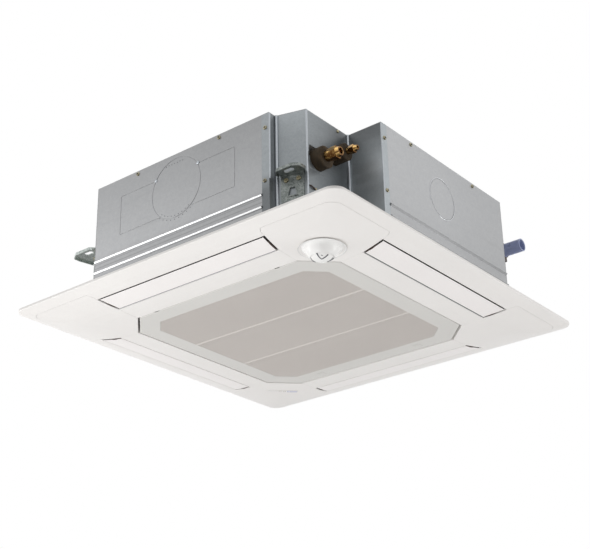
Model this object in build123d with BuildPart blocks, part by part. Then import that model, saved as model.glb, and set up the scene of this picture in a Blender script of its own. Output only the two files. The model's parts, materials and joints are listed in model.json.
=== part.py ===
from build123d import *
from math import asin, atan2, cos, degrees, radians, sin, sqrt
import os

os.makedirs("parts", exist_ok=True)

# Four-way ceiling cassette air conditioner, millimetres, +Z up.
# The origin is the centre of the four suspension slots, on the upper face of the hanger tabs.
# Heights h are written above the ceiling plane, which is the upper edge of the panel's rim.

TAB_HEIGHT = 122.0          # hanger tabs above the ceiling plane
SLOT_PITCH_X = 605.0        # suspension slots, centre to centre
SLOT_PITCH_Y = 810.0
SLOT_WIDTH = 12.0
SLOT_LENGTH = 26.0

CASING = 420.0              # half width of the casing
CORNER_SUM = 684.0          # |x| + |y| on the chamfered corners
CASING_TOP = 270.0
CASING_BOTTOM = 2.0
SHEET = 1.0                 # galvanised sheet
LINER = 12.0
BEAD_HEIGHTS = (47.5, 75.5)  # pressed beads: a sloping face below, a short return above
BEAD_DEPTH = 3.4
BEAD_LOW = -3.0
BEAD_CREST = (2.2, 3.0)
BEAD_TOP = 4.4

STEP_X = 262.0              # stepped piping corner, front right
HANGER_Y = -398.0
PIPE_X = 330.0
PIPE_Y = -378.0
STEP_Y = -232.0
FLANGE = 20.0               # folds of the piping corner plate on to its neighbours

PANEL = 475.0               # half width of the panel
PANEL_CORNER = 28.0
RIM = 446.0                 # inner line of the rim's bevel
OPENING = 303.0             # half width of the grille opening
FACE_LOW = -30.0            # height of the face at the grille
FACE_RADIUS = 640.0         # the face curves up from the grille to the rim
PANEL_SKIN = 3.0
SLOT_IN = 362.0             # air outlets, from the inner to the outer edge
SLOT_OUT = 421.0
SLOT_END_IN = 238.0         # half length of the inner and outer edges
SLOT_END_OUT = 248.0
COVER = 5.0                 # thickness of a corner cover
SEAM = 0.5

GRILLE = 300.0              # half width of the grille frame
GRILLE_CUT = 66.0
MESH = 253.0
MESH_CUT = 40.0

VANE_PIVOT = 383.0
VANE_PIVOT_H = -18.0
VANE_PIN = 2.5
FIT = 0.06                  # radial clearance of a running fit

CORNERS = ((1, -1), (1, 1), (-1, 1), (-1, -1))


def up(h):
    """Model height of a point that is h above the ceiling plane."""
    return h - TAB_HEIGHT


def save(piece, label):
    piece.label = label
    export_step(piece, f"parts/{label}.step")


def group_of(parts):
    """Several separate solids as one node."""
    return Compound(children=[solid for part in parts for solid in part.solids()])


def face_h(r):
    """Height of the panel's face at a distance r from the middle, inside the rim's bevel."""
    return FACE_LOW + (r - OPENING) ** 2 / (2 * FACE_RADIUS)


def octagon(half, cut):
    return [(half, cut - half), (half, half - cut), (half - cut, half), (cut - half, half),
            (-half, half - cut), (-half, cut - half), (cut - half, -half), (half - cut, -half)]


# --- casing -----------------------------------------------------------------------------------

FLAT = CORNER_SUM - CASING
OUTLINE = [(-FLAT, -CASING), (STEP_X, -CASING), (STEP_X, HANGER_Y), (PIPE_X, PIPE_Y),
           (PIPE_X, STEP_Y), (CASING, STEP_Y), (CASING, FLAT), (FLAT, CASING),
           (-FLAT, CASING), (-CASING, FLAT), (-CASING, -FLAT)]

GAS_Y, GAS_H, GAS_SLEEVE = -343.0, 159.5, 25.0
LIQUID_Y, LIQUID_H, LIQUID_SLEEVE = -285.0, 193.0, 20.0
GAS_HOLE = 2 * GAS_SLEEVE + 5   # square hole with round corners
DRAIN_Y, DRAIN_H, DRAIN_R = 340.0, 180.0, 16.0
SHOULDER_R = 17.0           # the drain socket up to its clip
DRAIN_TIP = 429.0

# screws on each wall: place along the wall, height
FRONT_SCREWS = ((-131, 262), (120, 262), (252, 235), (250, 108))
RIGHT_SCREWS = ((-221, 234), (-221, 106), (-119, 262), (137, 262))
REAR_SCREWS = ((-180, 262), (0, 262), (180, 262))
LEFT_SCREWS = ((-180, 262), (0, 262), (180, 262))
SCREW_R = 2.0
WALLS = {
    "front": (Plane((0, -CASING, 0), x_dir=(1, 0, 0), z_dir=(0, -1, 0)), FRONT_SCREWS),
    "right": (Plane((CASING, 0, 0), x_dir=(0, 1, 0), z_dir=(1, 0, 0)), RIGHT_SCREWS),
    "rear": (Plane((0, CASING, 0), x_dir=(-1, 0, 0), z_dir=(0, 1, 0)), REAR_SCREWS),
    "left": (Plane((-CASING, 0, 0), x_dir=(0, -1, 0), z_dir=(-1, 0, 0)), LEFT_SCREWS),
}


def outline_sketch(h, inset):
    """The casing's outline, drawn in by inset, at height h."""
    with BuildSketch(Plane.XY.offset(up(h))) as drawn:
        with BuildLine():
            Polyline(OUTLINE, close=True)
        make_face()
        if inset > 0:
            offset(amount=-inset, kind=Kind.INTERSECTION)
    return drawn.sketch


def screw_holes(name):
    """Clearance holes through one wall, at its screws."""
    plane, places = WALLS[name]
    with BuildPart() as drilled:
        with BuildSketch(plane.offset(6)):
            with Locations(*[(a, up(h)) for a, h in places]):
                Circle(SCREW_R + 0.1)
        extrude(amount=-12)
    return drilled.part


LIP = 13.0
with BuildPart() as top_plate:
    add(outline_sketch(CASING_TOP - SHEET, 0))
    extrude(amount=SHEET)
    add(outline_sketch(CASING_TOP - SHEET, SHEET + 0.05))
    extrude(amount=-LIP)
    add(outline_sketch(CASING_TOP - SHEET, 2 * SHEET + 0.05))
    extrude(amount=-LIP, mode=Mode.SUBTRACT)
    with BuildSketch(Plane.XY.offset(up(CASING_TOP))):
        with Locations((0, 330), (0, -330)):
            SlotOverall(440, 14)
        with Locations((330, 20), (-330, 0)):
            SlotOverall(360, 14, rotation=90)
        with PolarLocations(0, 4, start_angle=45):
            with Locations((190, 0)):
                SlotOverall(130, 14)
    extrude(amount=2.0, taper=30)
    for wall in WALLS:
        add(screw_holes(wall), mode=Mode.SUBTRACT)
save(top_plate.part, "top_plate")


def wall_profile():
    """Section of a side plate: outer face at 0, two beads pressed outwards, in (out, height)."""
    outer = [(0, up(CASING_BOTTOM))]
    for h in BEAD_HEIGHTS:
        outer += [(0, up(h + BEAD_LOW))]
        outer += [(BEAD_DEPTH, up(h + crest)) for crest in BEAD_CREST]
        outer += [(0, up(h + BEAD_TOP))]
    outer += [(0, up(CASING_TOP - SHEET))]
    return outer + [(a - SHEET, b) for a, b in reversed(outer)]


def side_plate(plane, start, end):
    """A beaded sheet on one wall, from start to end along the wall."""
    section = Plane(plane.from_local_coords(Vector(start, 0, 0)), x_dir=plane.z_dir,
                    z_dir=plane.x_dir * -1)
    with BuildPart() as plate:
        with BuildSketch(section):
            with BuildLine():
                Polyline(*[(a, b * section.y_dir.Z) for a, b in wall_profile()], close=True)
            make_face()
        extrude(amount=start - end)
    return plate.part


SIDE_END = FLAT - 1.5
DUCT_KNOCKOUT = (-183.0, 124.0, 166.0, 221.5)     # rectangle on the front wall
DUCT_RING = (-7.5, 184.0, 75.0)                   # its round knock-out: centre and radius
ROUND_KNOCKOUT = (-2.0, 172.0, 50.0)
GROOVE = 2.0
GROOVE_DEPTH = 0.7


def dashes(length, count, duty):
    """Starts and ends of the pierced stretches of a line that is length long."""
    pitch = length / count
    return [(i * pitch + pitch * (1 - duty) / 2, i * pitch + pitch * (1 + duty) / 2)
            for i in range(count)]


with BuildPart() as front_plate:
    add(side_plate(WALLS["front"][0], -SIDE_END, STEP_X - FLANGE - 0.1))
    add(screw_holes("front"), mode=Mode.SUBTRACT)
    x0, h0, x1, h1 = DUCT_KNOCKOUT
    with BuildSketch(WALLS["front"][0]):
        for a, b in dashes(x1 - x0, 9, 0.94):
            with Locations(((x0 + (a + b) / 2), up(h0)), ((x0 + (a + b) / 2), up(h1))):
                Rectangle(b - a, GROOVE)
        for a, b in dashes(h1 - h0, 3, 0.94):
            with Locations((x0, up(h0 + (a + b) / 2)), (x1, up(h0 + (a + b) / 2))):
                Rectangle(GROOVE, b - a)
        with Locations((DUCT_RING[0], up(DUCT_RING[1]))):
            Circle(DUCT_RING[2])
            Circle(DUCT_RING[2] - GROOVE, mode=Mode.SUBTRACT)
    extrude(amount=-GROOVE_DEPTH, mode=Mode.SUBTRACT)
save(front_plate.part, "front_side_plate")

with BuildPart() as right_plate:
    add(side_plate(WALLS["right"][0], STEP_Y + FLANGE + 0.1, SIDE_END))
    add(screw_holes("right"), mode=Mode.SUBTRACT)
    with BuildSketch(WALLS["right"][0]):
        with Locations((ROUND_KNOCKOUT[0], up(ROUND_KNOCKOUT[1]))):
            Circle(ROUND_KNOCKOUT[2])
            Circle(ROUND_KNOCKOUT[2] - GROOVE, mode=Mode.SUBTRACT)
    extrude(amount=-GROOVE_DEPTH, mode=Mode.SUBTRACT)
save(right_plate.part, "right_side_plate")

for wall in ("rear", "left"):
    with BuildPart() as plain_plate:
        add(side_plate(WALLS[wall][0], -SIDE_END, SIDE_END))
        add(screw_holes(wall), mode=Mode.SUBTRACT)
    save(plain_plate.part, f"{wall}_side_plate")


def sheet_along(points, thickness):
    """A sheet on edge: its outer face follows the points, its thickness lies to their left."""
    with BuildPart() as strip:
        with BuildSketch(Plane.XY.offset(up(CASING_BOTTOM))):
            with BuildLine():
                run = Polyline(*points)
                offset(run, amount=thickness, side=Side.LEFT, kind=Kind.INTERSECTION)
            make_face()
        extrude(amount=CASING_TOP - SHEET - CASING_BOTTOM)
    return strip.part


with BuildPart() as drain_hole:
    with BuildSketch(Plane.YZ.offset(300)):
        with Locations((DRAIN_Y, up(DRAIN_H))):
            Circle(SHOULDER_R + 0.4)
    extrude(amount=100)

corner_plates = []
for sx, sy in ((1, 1), (-1, 1), (-1, -1)):
    ends = [(sx * FLAT, sy * CASING), (sx * CASING, sy * FLAT)]
    if sx * sy > 0:
        ends.reverse()
    with BuildPart() as corner_plate:
        add(sheet_along(ends, SHEET))
        if (sx, sy) == (1, 1):
            add(drain_hole.part, mode=Mode.SUBTRACT)
    corner_plates.append(corner_plate.part)
save(group_of(corner_plates), "corner_plates")

with BuildPart() as piping_plate:
    add(sheet_along([(STEP_X - FLANGE, -CASING), (STEP_X, -CASING), (STEP_X, HANGER_Y),
                     (PIPE_X, PIPE_Y), (PIPE_X, STEP_Y), (CASING, STEP_Y),
                     (CASING, STEP_Y + FLANGE)], SHEET))
    add(screw_holes("front"), mode=Mode.SUBTRACT)
    add(screw_holes("right"), mode=Mode.SUBTRACT)
    with BuildSketch(Plane.YZ.offset(PIPE_X + 2)):
        with Locations((GAS_Y, up(GAS_H))):
            RectangleRounded(GAS_HOLE, GAS_HOLE, 4)
        with Locations((LIQUID_Y, up(LIQUID_H))):
            Circle(LIQUID_SLEEVE + 0.5)
    extrude(amount=-6, mode=Mode.SUBTRACT)
save(piping_plate.part, "piping_corner_plate")

# --- foam liner -------------------------------------------------------------------------------

LINER_BOTTOM = 51.0
ROOF = 257.0
ROOF_HOLE_R = 112.0         # clears the fan motor


def drawn_in(inset):
    """The outline's corners, each moved in by inset from both of its walls."""
    corners = []
    for k, (x, y) in enumerate(OUTLINE):
        to_last = Vector(x, y) - Vector(*OUTLINE[k - 1])
        to_next = Vector(*OUTLINE[(k + 1) % len(OUTLINE)]) - Vector(x, y)
        a, b = to_last.normalized(), to_next.normalized()
        turn = a.X * b.Y - a.Y * b.X
        corners.append((x + (b.X - a.X) * inset / turn, y + (b.Y - a.Y) * inset / turn))
    return corners


with BuildPart() as pipe_holes:
    with BuildSketch(Plane.YZ.offset(PIPE_X + 2)):
        with Locations((GAS_Y, up(GAS_H))):
            RectangleRounded(GAS_HOLE, GAS_HOLE, 4)
        with Locations((LIQUID_Y, up(LIQUID_H))):
            Circle(LIQUID_SLEEVE + 0.5)
    extrude(amount=-40)

with BuildPart() as roof_foam:
    add(outline_sketch(ROOF - 1, 2 * SHEET + 0.4))
    extrude(amount=CASING_TOP - SHEET - ROOF + 0.8)
    with BuildSketch(Plane.XY.offset(up(ROOF - 1))):
        Circle(ROOF_HOLE_R)
    extrude(amount=30, mode=Mode.SUBTRACT)
    for wall in WALLS:
        add(screw_holes(wall), mode=Mode.SUBTRACT)

liner_parts = [roof_foam.part]
outer_corners, inner_corners = drawn_in(SHEET + 0.2), drawn_in(SHEET + LINER)
for k in range(len(OUTLINE)):
    with BuildPart() as wall_foam:
        with BuildSketch(Plane.XY.offset(up(LINER_BOTTOM))):
            with BuildLine():
                Polyline(outer_corners[k - 1], outer_corners[k], inner_corners[k],
                         inner_corners[k - 1], close=True)
            make_face()
        extrude(amount=ROOF - 1 - LINER_BOTTOM)
        add(pipe_holes.part, mode=Mode.SUBTRACT)
        add(drain_hole.part, mode=Mode.SUBTRACT)
        for wall in WALLS:
            add(screw_holes(wall), mode=Mode.SUBTRACT)
    liner_parts.append(wall_foam.part)
save(group_of(liner_parts), "foam_liner")

# --- hangers ----------------------------------------------------------------------------------

PLATE = 2.5
TAB_EDGE = [(270, 414), (282, 424.5), (326, 424.5), (345, 413), (345, 397), (335, 349)]
FACET_SLOPE = (PIPE_Y - HANGER_Y) / (PIPE_X - STEP_X)
CURL = 7.0                  # stiffening lip under the tab's free edge
CURL_WALL = 2.2
CURL_CLEAR = 8.0            # the lip stops short of the upright
HANGER_LOW = 46.0
HANGER_HALF = 26.0
HANGER_SCREWS = ((-14, 106), (14, 106))
TAB_ROOT = 40.0             # middle of the tab's root, along the chamfer from its middle


def hanger_face(sx, sy):
    """Plane of the casing wall that carries a hanger."""
    if (sx, sy) == (1, -1):
        run = Vector(PIPE_X - STEP_X, PIPE_Y - HANGER_Y, 0).normalized()
        foot = Vector(STEP_X, HANGER_Y, 0) + run * 38
        return Plane(foot, x_dir=run, z_dir=Vector(run.Y, -run.X, 0))
    foot = Vector(sx * (CORNER_SUM / 2 - TAB_ROOT), sy * (CORNER_SUM / 2 + TAB_ROOT), 0)
    normal = Vector(sx, sy, 0).normalized()
    return Plane(foot, x_dir=Vector(-normal.Y, normal.X, 0), z_dir=normal)


def tab_edge(sx, sy):
    if (sx, sy) == (1, -1):
        root = [(x, HANGER_Y + (x - STEP_X) * FACET_SLOPE) for x in (272, 326)]
        return [root[0], (272, -412), (283, -424.5), (324, -424.5), (338, -413), (338, -394),
                root[1]]
    return [(sx * a, sy * b) for a, b in TAB_EDGE]


def tab_sketch(sx, sy, inset):
    edge = tab_edge(sx, sy)
    with BuildSketch() as drawn:
        with BuildLine():
            Polyline(*edge, close=True)
        make_face()
        free = [v for v in drawn.vertices()
                if all(abs(v.X - x) + abs(v.Y - y) > 0.1 for x, y in (edge[0], edge[-1]))]
        fillet(free, 7)
        if inset > 0:
            offset(amount=-inset, kind=Kind.INTERSECTION)
    return drawn.sketch


def hanger(sx, sy):
    """Upright with a pressed window, screwed to the casing, and the slotted tab on its top."""
    face = hanger_face(sx, sy)
    with BuildPart() as bracket:
        add(tab_sketch(sx, sy, 0))
        extrude(amount=-CURL)
        add(tab_sketch(sx, sy, CURL_WALL))
        extrude(amount=-CURL, mode=Mode.SUBTRACT)
        with BuildSketch(face):
            with Locations((0, -20)):
                Rectangle(140, 40)
        extrude(amount=CURL_CLEAR, mode=Mode.SUBTRACT)
        add(tab_sketch(sx, sy, 0))
        extrude(amount=-PLATE)
        with BuildSketch(face):
            with Locations((0, up(HANGER_LOW) / 2)):
                Rectangle(2 * HANGER_HALF, -up(HANGER_LOW))
            with Locations((0, up(78))):
                Trapezoid(20, 18, 76, mode=Mode.SUBTRACT)
            with Locations(*[(a, up(h)) for a, h in HANGER_SCREWS]):
                Circle(SCREW_R + 0.1, mode=Mode.SUBTRACT)
        extrude(amount=PLATE)
        with BuildSketch(face.offset(PLATE)):
            with Locations((0, up(78))):
                Trapezoid(25, 23, 76)
                Trapezoid(20, 18, 76, mode=Mode.SUBTRACT)
        extrude(amount=1.5)
        with BuildSketch(Plane.XY.offset(-CURL - 1)):
            with Locations((sx * SLOT_PITCH_X / 2, sy * SLOT_PITCH_Y / 2)):
                SlotOverall(SLOT_LENGTH, SLOT_WIDTH)
        extrude(amount=CURL + 2, mode=Mode.SUBTRACT)
    return bracket.part


NAMES = {(1, -1): "front_right", (1, 1): "rear_right", (-1, 1): "rear_left",
         (-1, -1): "front_left"}
for (sx, sy), name in NAMES.items():
    save(hanger(sx, sy), f"hanger_{name}")

# --- screws -----------------------------------------------------------------------------------


def screws(plane, places, head, shank):
    """Pan-head screws with a cross recess; the heads sit on the plane."""
    with BuildPart() as group:
        with BuildSketch(plane):
            with Locations(*places):
                Circle(head)
        extrude(amount=2.4, taper=18)
        with BuildSketch(plane):
            with Locations(*places):
                Circle(SCREW_R)
        extrude(amount=-shank)
        with BuildSketch(plane.offset(2.4)):
            with Locations(*places):
                Rectangle(head * 0.9, 0.9)
                Rectangle(0.9, head * 0.9)
        extrude(amount=-1.1, mode=Mode.SUBTRACT)
    return group.part


casing_sets = [screws(plane, [(a, up(h)) for a, h in places], 4.6, 5.5)
               for plane, places in WALLS.values()]
save(group_of(casing_sets), "casing_screws")

hanger_sets = [screws(hanger_face(sx, sy).offset(PLATE), [(a, up(h)) for a, h in HANGER_SCREWS],
                      5.5, PLATE) for sx, sy in CORNERS]
save(group_of(hanger_sets), "hanger_screws")

# --- heat exchanger ---------------------------------------------------------------------------

COIL_OUT = 345.0
COIL_IN = 303.0
COIL_R = 90.0
COIL_LOW, COIL_TOP = 38.0, 226.0
COIL_END_X = 232.0          # the ring is open at the piping corner
COIL_END_Y = -190.0
END_PLATE = 1.5


def coil_ring(low, high, outer, inner):
    """A rounded square ring that is open at the front right corner."""
    with BuildPart() as ring:
        with BuildSketch(Plane.XY.offset(up(low))):
            RectangleRounded(2 * outer, 2 * outer, COIL_R)
            RectangleRounded(2 * inner, 2 * inner, COIL_R - (outer - inner), mode=Mode.SUBTRACT)
            with BuildLine():
                Polyline((COIL_END_X, COIL_END_Y), (COIL_END_X, -500), (500, -500),
                         (500, COIL_END_Y), close=True)
            make_face(mode=Mode.SUBTRACT)
        extrude(amount=high - low)
    return ring.part


save(coil_ring(COIL_LOW, COIL_TOP, COIL_OUT, COIL_IN), "heat_exchanger_fins")

COIL_MID = (COIL_OUT + COIL_IN) / 2
with BuildPart() as end_plate_front:
    with BuildSketch(Plane.YZ.offset(COIL_END_X)):
        with Locations((-COIL_MID, up((COIL_LOW + COIL_TOP) / 2))):
            Rectangle(COIL_OUT - COIL_IN + 4, COIL_TOP - COIL_LOW)
    extrude(amount=END_PLATE)
with BuildPart() as end_plate_right:
    with BuildSketch(Plane.XZ.offset(-COIL_END_Y)):
        with Locations((COIL_MID, up((COIL_LOW + COIL_TOP) / 2))):
            Rectangle(COIL_OUT - COIL_IN + 4, COIL_TOP - COIL_LOW)
    extrude(amount=END_PLATE)
save(group_of([end_plate_front.part, end_plate_right.part]), "coil_end_plates")

TUBE_R = 3.6
BEND_R = 10.5
BEND_HEIGHTS = [58 + 36 * k for k in range(5)]
ROWS = (-11.0, 11.0)


def return_bends(plane, offsets):
    """Half rings of tube that stand on an end plate."""
    with BuildPart() as bends:
        for row in offsets:
            for h in BEND_HEIGHTS:
                centre = plane.from_local_coords(Vector(row, up(h), 0))
                with BuildSketch(Plane(centre, x_dir=plane.y_dir, z_dir=plane.z_dir)):
                    with Locations((BEND_R, 0)):
                        Circle(TUBE_R)
                axis = Axis(centre, plane.x_dir)
                revolve(axis=axis, revolution_arc=180)
    return bends.part


front_face = Plane((COIL_END_X + END_PLATE, -COIL_MID, 0), x_dir=(0, 1, 0), z_dir=(1, 0, 0))
right_face = Plane((COIL_MID, COIL_END_Y - END_PLATE, 0), x_dir=(1, 0, 0), z_dir=(0, -1, 0))
save(group_of([return_bends(front_face, ROWS), return_bends(right_face, ROWS)]),
     "coil_return_bends")

# --- refrigerant pipes ------------------------------------------------------------------------

GAS_R, GAS_SLEEVE_END, GAS_FLATS, GAS_NUT_END = 6.35, 355.0, 26.0, 392.0
LIQUID_R, LIQUID_SLEEVE_END, LIQUID_FLATS, LIQUID_NUT_END = 3.18, 366.0, 17.0, 394.0
SLEEVE_START = 300.0
PIPE_START = 250.0
TUBE_WALL = 1.0
BORE_LENGTH = 12.0          # depth of the bore that takes the field pipe
BORE_CLEARANCE = 0.35       # radial, round the field pipe
NUT_BACK = 6.0              # round collar behind the hexagon


def axial_plane(y, h, x):
    """Plane across a pipe that runs along X."""
    return Plane((x, y, up(h)), x_dir=(0, 1, 0), z_dir=(1, 0, 0))


def pipe(y, h, radius, nut_end):
    """Tube from the heat exchanger to just short of the field pipe's seat."""
    with BuildPart() as tube:
        with BuildSketch(axial_plane(y, h, PIPE_START)):
            Circle(radius)
            Circle(radius - TUBE_WALL, mode=Mode.SUBTRACT)
        extrude(amount=nut_end - BORE_LENGTH - 1 - PIPE_START)
    return tube.part


def sleeve_of(y, h, radius, sleeve, sleeve_end):
    """Foam sleeve round a pipe, its outer edge rounded off."""
    with BuildPart() as foam:
        with BuildSketch(axial_plane(y, h, SLEEVE_START)):
            Circle(sleeve)
            Circle(radius, mode=Mode.SUBTRACT)
        extrude(amount=sleeve_end - SLEEVE_START)
        chamfer(foam.edges().filter_by(GeomType.CIRCLE).sort_by(Axis.X)[-2:].sort_by(
            SortBy.RADIUS)[-1], 2.0)
    return foam.part


def flare_nut(y, h, radius, sleeve_end, flats, nut_end):
    """Hexagon with chamfered corners, a collar behind and a tapered neck round the field bore."""
    hex_r = flats / sqrt(3)
    start = sleeve_end + 1.0
    hex_end = nut_end - 8.0
    with BuildPart() as nut:
        with BuildSketch(axial_plane(y, h, start + NUT_BACK)):
            RegularPolygon(hex_r, 6)
        extrude(amount=hex_end - start - NUT_BACK)
        with BuildSketch(axial_plane(y, h, start + NUT_BACK)):
            Circle(hex_r * 0.9)
        extrude(amount=hex_end - start - NUT_BACK, taper=-8, mode=Mode.INTERSECT)
        with BuildSketch(axial_plane(y, h, start)):
            Circle(flats / 2 - 1.0)
        extrude(amount=NUT_BACK)
        with BuildSketch(axial_plane(y, h, hex_end)):
            Circle(flats / 2 - 1.0)
        extrude(amount=nut_end - hex_end, taper=14)
        with BuildSketch(axial_plane(y, h, start)):
            Circle(radius)
        extrude(amount=nut_end - start, mode=Mode.SUBTRACT)
        with BuildSketch(axial_plane(y, h, nut_end)):
            Circle(radius + BORE_CLEARANCE)
        extrude(amount=-BORE_LENGTH, mode=Mode.SUBTRACT)
    return nut.part


save(pipe(GAS_Y, GAS_H, GAS_R, GAS_NUT_END), "gas_pipe")
save(pipe(LIQUID_Y, LIQUID_H, LIQUID_R, LIQUID_NUT_END), "liquid_pipe")
save(flare_nut(GAS_Y, GAS_H, GAS_R, GAS_SLEEVE_END, GAS_FLATS, GAS_NUT_END), "gas_flare_nut")
save(flare_nut(LIQUID_Y, LIQUID_H, LIQUID_R, LIQUID_SLEEVE_END, LIQUID_FLATS, LIQUID_NUT_END),
     "liquid_flare_nut")
save(group_of([sleeve_of(GAS_Y, GAS_H, GAS_R, GAS_SLEEVE, GAS_SLEEVE_END),
               sleeve_of(LIQUID_Y, LIQUID_H, LIQUID_R, LIQUID_SLEEVE, LIQUID_SLEEVE_END)]),
     "pipe_insulation")

# --- drain ------------------------------------------------------------------------------------

SOCKET_START = 326.0
HOSE_R = 9.0
CLIP_X, CLIP_WIDTH = 372.0, 9.0
with BuildPart() as drain_socket:
    with BuildSketch(axial_plane(DRAIN_Y, DRAIN_H, SOCKET_START)):
        Circle(SHOULDER_R)
    extrude(amount=CLIP_X + CLIP_WIDTH - SOCKET_START)
    with BuildSketch(axial_plane(DRAIN_Y, DRAIN_H, CLIP_X)):
        Circle(DRAIN_R)
    extrude(amount=DRAIN_TIP - CLIP_X)
    with BuildSketch(axial_plane(DRAIN_Y, DRAIN_H, DRAIN_TIP)):
        Circle(DRAIN_R - 3)
    extrude(amount=-(DRAIN_TIP - SOCKET_START - 14), mode=Mode.SUBTRACT)
    with BuildSketch(axial_plane(DRAIN_Y, DRAIN_H, SOCKET_START)):
        Circle(HOSE_R)
    extrude(amount=12, mode=Mode.SUBTRACT)
    with BuildSketch(axial_plane(DRAIN_Y, DRAIN_H, SOCKET_START)):
        Circle(HOSE_R - 2)
    extrude(amount=20, mode=Mode.SUBTRACT)
save(drain_socket.part, "drain_socket")

CLIP_WALL = 1.6
with BuildPart() as drain_clip:
    with BuildSketch(axial_plane(DRAIN_Y, DRAIN_H, CLIP_X)):
        Circle(SHOULDER_R + CLIP_WALL)
        with Locations((0, -SHOULDER_R - 5)):
            Rectangle(12, 14)
        Circle(SHOULDER_R, mode=Mode.SUBTRACT)
    extrude(amount=CLIP_WIDTH)
save(drain_clip.part, "drain_clip")

PAN_LOW, PAN_TOP = 4.0, 50.0
PAN_BORE = 251.0
BASIN_IN, BASIN_OUT, BASIN_FLOOR = 297.0, 352.0, 36.0
DUCT_IN, DUCT_OUT, DUCT_HALF = 363.0, 405.0, 236.0
BASIN_PAST = 20.0           # the basin runs on past the ends of the heat exchanger
SUMP_X0, SUMP_Y0 = 225.0, 190.0
BOX_HALF, BOX_Y0, BOX_Y1, BOX_LOW, BOX_TOP = 150.0, -293.0, -254.0, 1.0, 34.0
BOLT_X, BOLT_Y = 280.0, 362.0
BOLT_R = 2.9
with BuildPart() as drain_pan:
    add(outline_sketch(PAN_LOW, SHEET + 0.4))
    extrude(amount=PAN_TOP - PAN_LOW)
    with BuildSketch(Plane.XY.offset(up(PAN_LOW - 1))):
        Circle(PAN_BORE)
        with PolarLocations((DUCT_IN + DUCT_OUT) / 2, 4):
            Rectangle(DUCT_OUT - DUCT_IN, 2 * DUCT_HALF)
        with Locations((CASING, STEP_Y + LINER)):
            Rectangle(3 * (DUCT_OUT - DUCT_IN), 100, align=(Align.CENTER, Align.MAX),
                      mode=Mode.SUBTRACT)
    extrude(amount=PAN_TOP, mode=Mode.SUBTRACT)
    with BuildSketch(Plane.XY.offset(up(PAN_TOP))):
        RectangleRounded(2 * BASIN_OUT, 2 * BASIN_OUT, COIL_R + 6)
        RectangleRounded(2 * BASIN_IN, 2 * BASIN_IN, 40, mode=Mode.SUBTRACT)
        with BuildLine():
            Polyline((COIL_END_X + BASIN_PAST, COIL_END_Y - BASIN_PAST),
                     (COIL_END_X + BASIN_PAST, -500), (500, -500),
                     (500, COIL_END_Y - BASIN_PAST), close=True)
        make_face(mode=Mode.SUBTRACT)
        with Locations(((SUMP_X0 + BASIN_IN) / 2, (SUMP_Y0 + BASIN_IN) / 2)):
            Rectangle(BASIN_IN - SUMP_X0 + 2, BASIN_IN - SUMP_Y0 + 2)
    extrude(amount=-(PAN_TOP - BASIN_FLOOR), mode=Mode.SUBTRACT)
    with BuildSketch(Plane.XY.offset(up(PAN_LOW - 1))):
        with Locations((0, (BOX_Y0 + BOX_Y1) / 2)):
            Rectangle(2 * BOX_HALF + 4, BOX_Y1 - BOX_Y0 + 4)
    extrude(amount=BOX_TOP + 2 - PAN_LOW, mode=Mode.SUBTRACT)
    with BuildSketch(Plane.XY.offset(up(PAN_LOW - 1))):
        with Locations(*[(sx * BOLT_X, sy * BOLT_Y) for sx, sy in CORNERS]):
            Circle(BOLT_R + 0.1)
    extrude(amount=13, mode=Mode.SUBTRACT)
save(drain_pan.part, "drain_pan")

PUMP_XY = 252.0
PUMP_LOW, PUMP_TOP = 39.0, 128.0
with BuildPart() as drain_pump:
    with BuildSketch(Plane.XY.offset(up(PUMP_LOW))):
        with Locations((PUMP_XY, PUMP_XY)):
            Circle(15)
    extrude(amount=30)
    with BuildSketch(Plane.XY.offset(up(PUMP_LOW + 30))):
        with Locations((PUMP_XY, PUMP_XY)):
            Circle(25)
    extrude(amount=PUMP_TOP - PUMP_LOW - 42)
    with BuildSketch(Plane.XY.offset(up(PUMP_TOP - 12))):
        with Locations((PUMP_XY, PUMP_XY)):
            Circle(HOSE_R - 2)
            Circle(HOSE_R - 4, mode=Mode.SUBTRACT)
    extrude(amount=12)
save(drain_pump.part, "drain_pump")

HOSE_H = 244.0
HOSE_X = 310.0
HOSE_ROUTE = [(SOCKET_START + 12, DRAIN_Y, up(DRAIN_H)), (HOSE_X, DRAIN_Y, up(DRAIN_H)),
              (HOSE_X, DRAIN_Y, up(HOSE_H)), (PUMP_XY, PUMP_XY, up(HOSE_H)),
              (PUMP_XY, PUMP_XY, up(PUMP_TOP - 12))]
with BuildPart() as drain_hose:
    with BuildLine() as hose_path:
        FilletPolyline(*HOSE_ROUTE, radius=(14, 14, 26))
    with BuildSketch(Plane(hose_path.line @ 0, z_dir=hose_path.line % 0)):
        Circle(HOSE_R)
        Circle(HOSE_R - 2, mode=Mode.SUBTRACT)
    sweep()
save(drain_hose.part, "drain_hose")

FLOAT_X, FLOAT_Y = 283.0, 212.0
STEM_R = 3.0
FLOAT_R = 12.0
FLOAT_LOW, FLOAT_HEIGHT = 56.0, 18.0
with BuildPart() as float_stem:
    with BuildSketch(Plane.XY.offset(up(BASIN_FLOOR + 2))):
        with Locations((FLOAT_X, FLOAT_Y)):
            Circle(STEM_R)
    extrude(amount=60)
    with BuildSketch(Plane.XY.offset(up(BASIN_FLOOR + 14))):
        with Locations((FLOAT_X, FLOAT_Y)):
            Circle(6)
    extrude(amount=2)
    with BuildSketch(Plane.XY.offset(up(BASIN_FLOOR + 62))):
        with Locations(((FLOAT_X + PUMP_XY) / 2, (FLOAT_Y + PUMP_XY) / 2)):
            Rectangle(70, 10, rotation=degrees(atan2(PUMP_XY - FLOAT_Y, PUMP_XY - FLOAT_X)))
    extrude(amount=3)
    with BuildSketch(Plane.XY.offset(up(BASIN_FLOOR + 60))):
        with Locations((PUMP_XY, PUMP_XY)):
            Circle(26)
    extrude(amount=10, mode=Mode.SUBTRACT)
save(float_stem.part, "float_stem")

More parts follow.
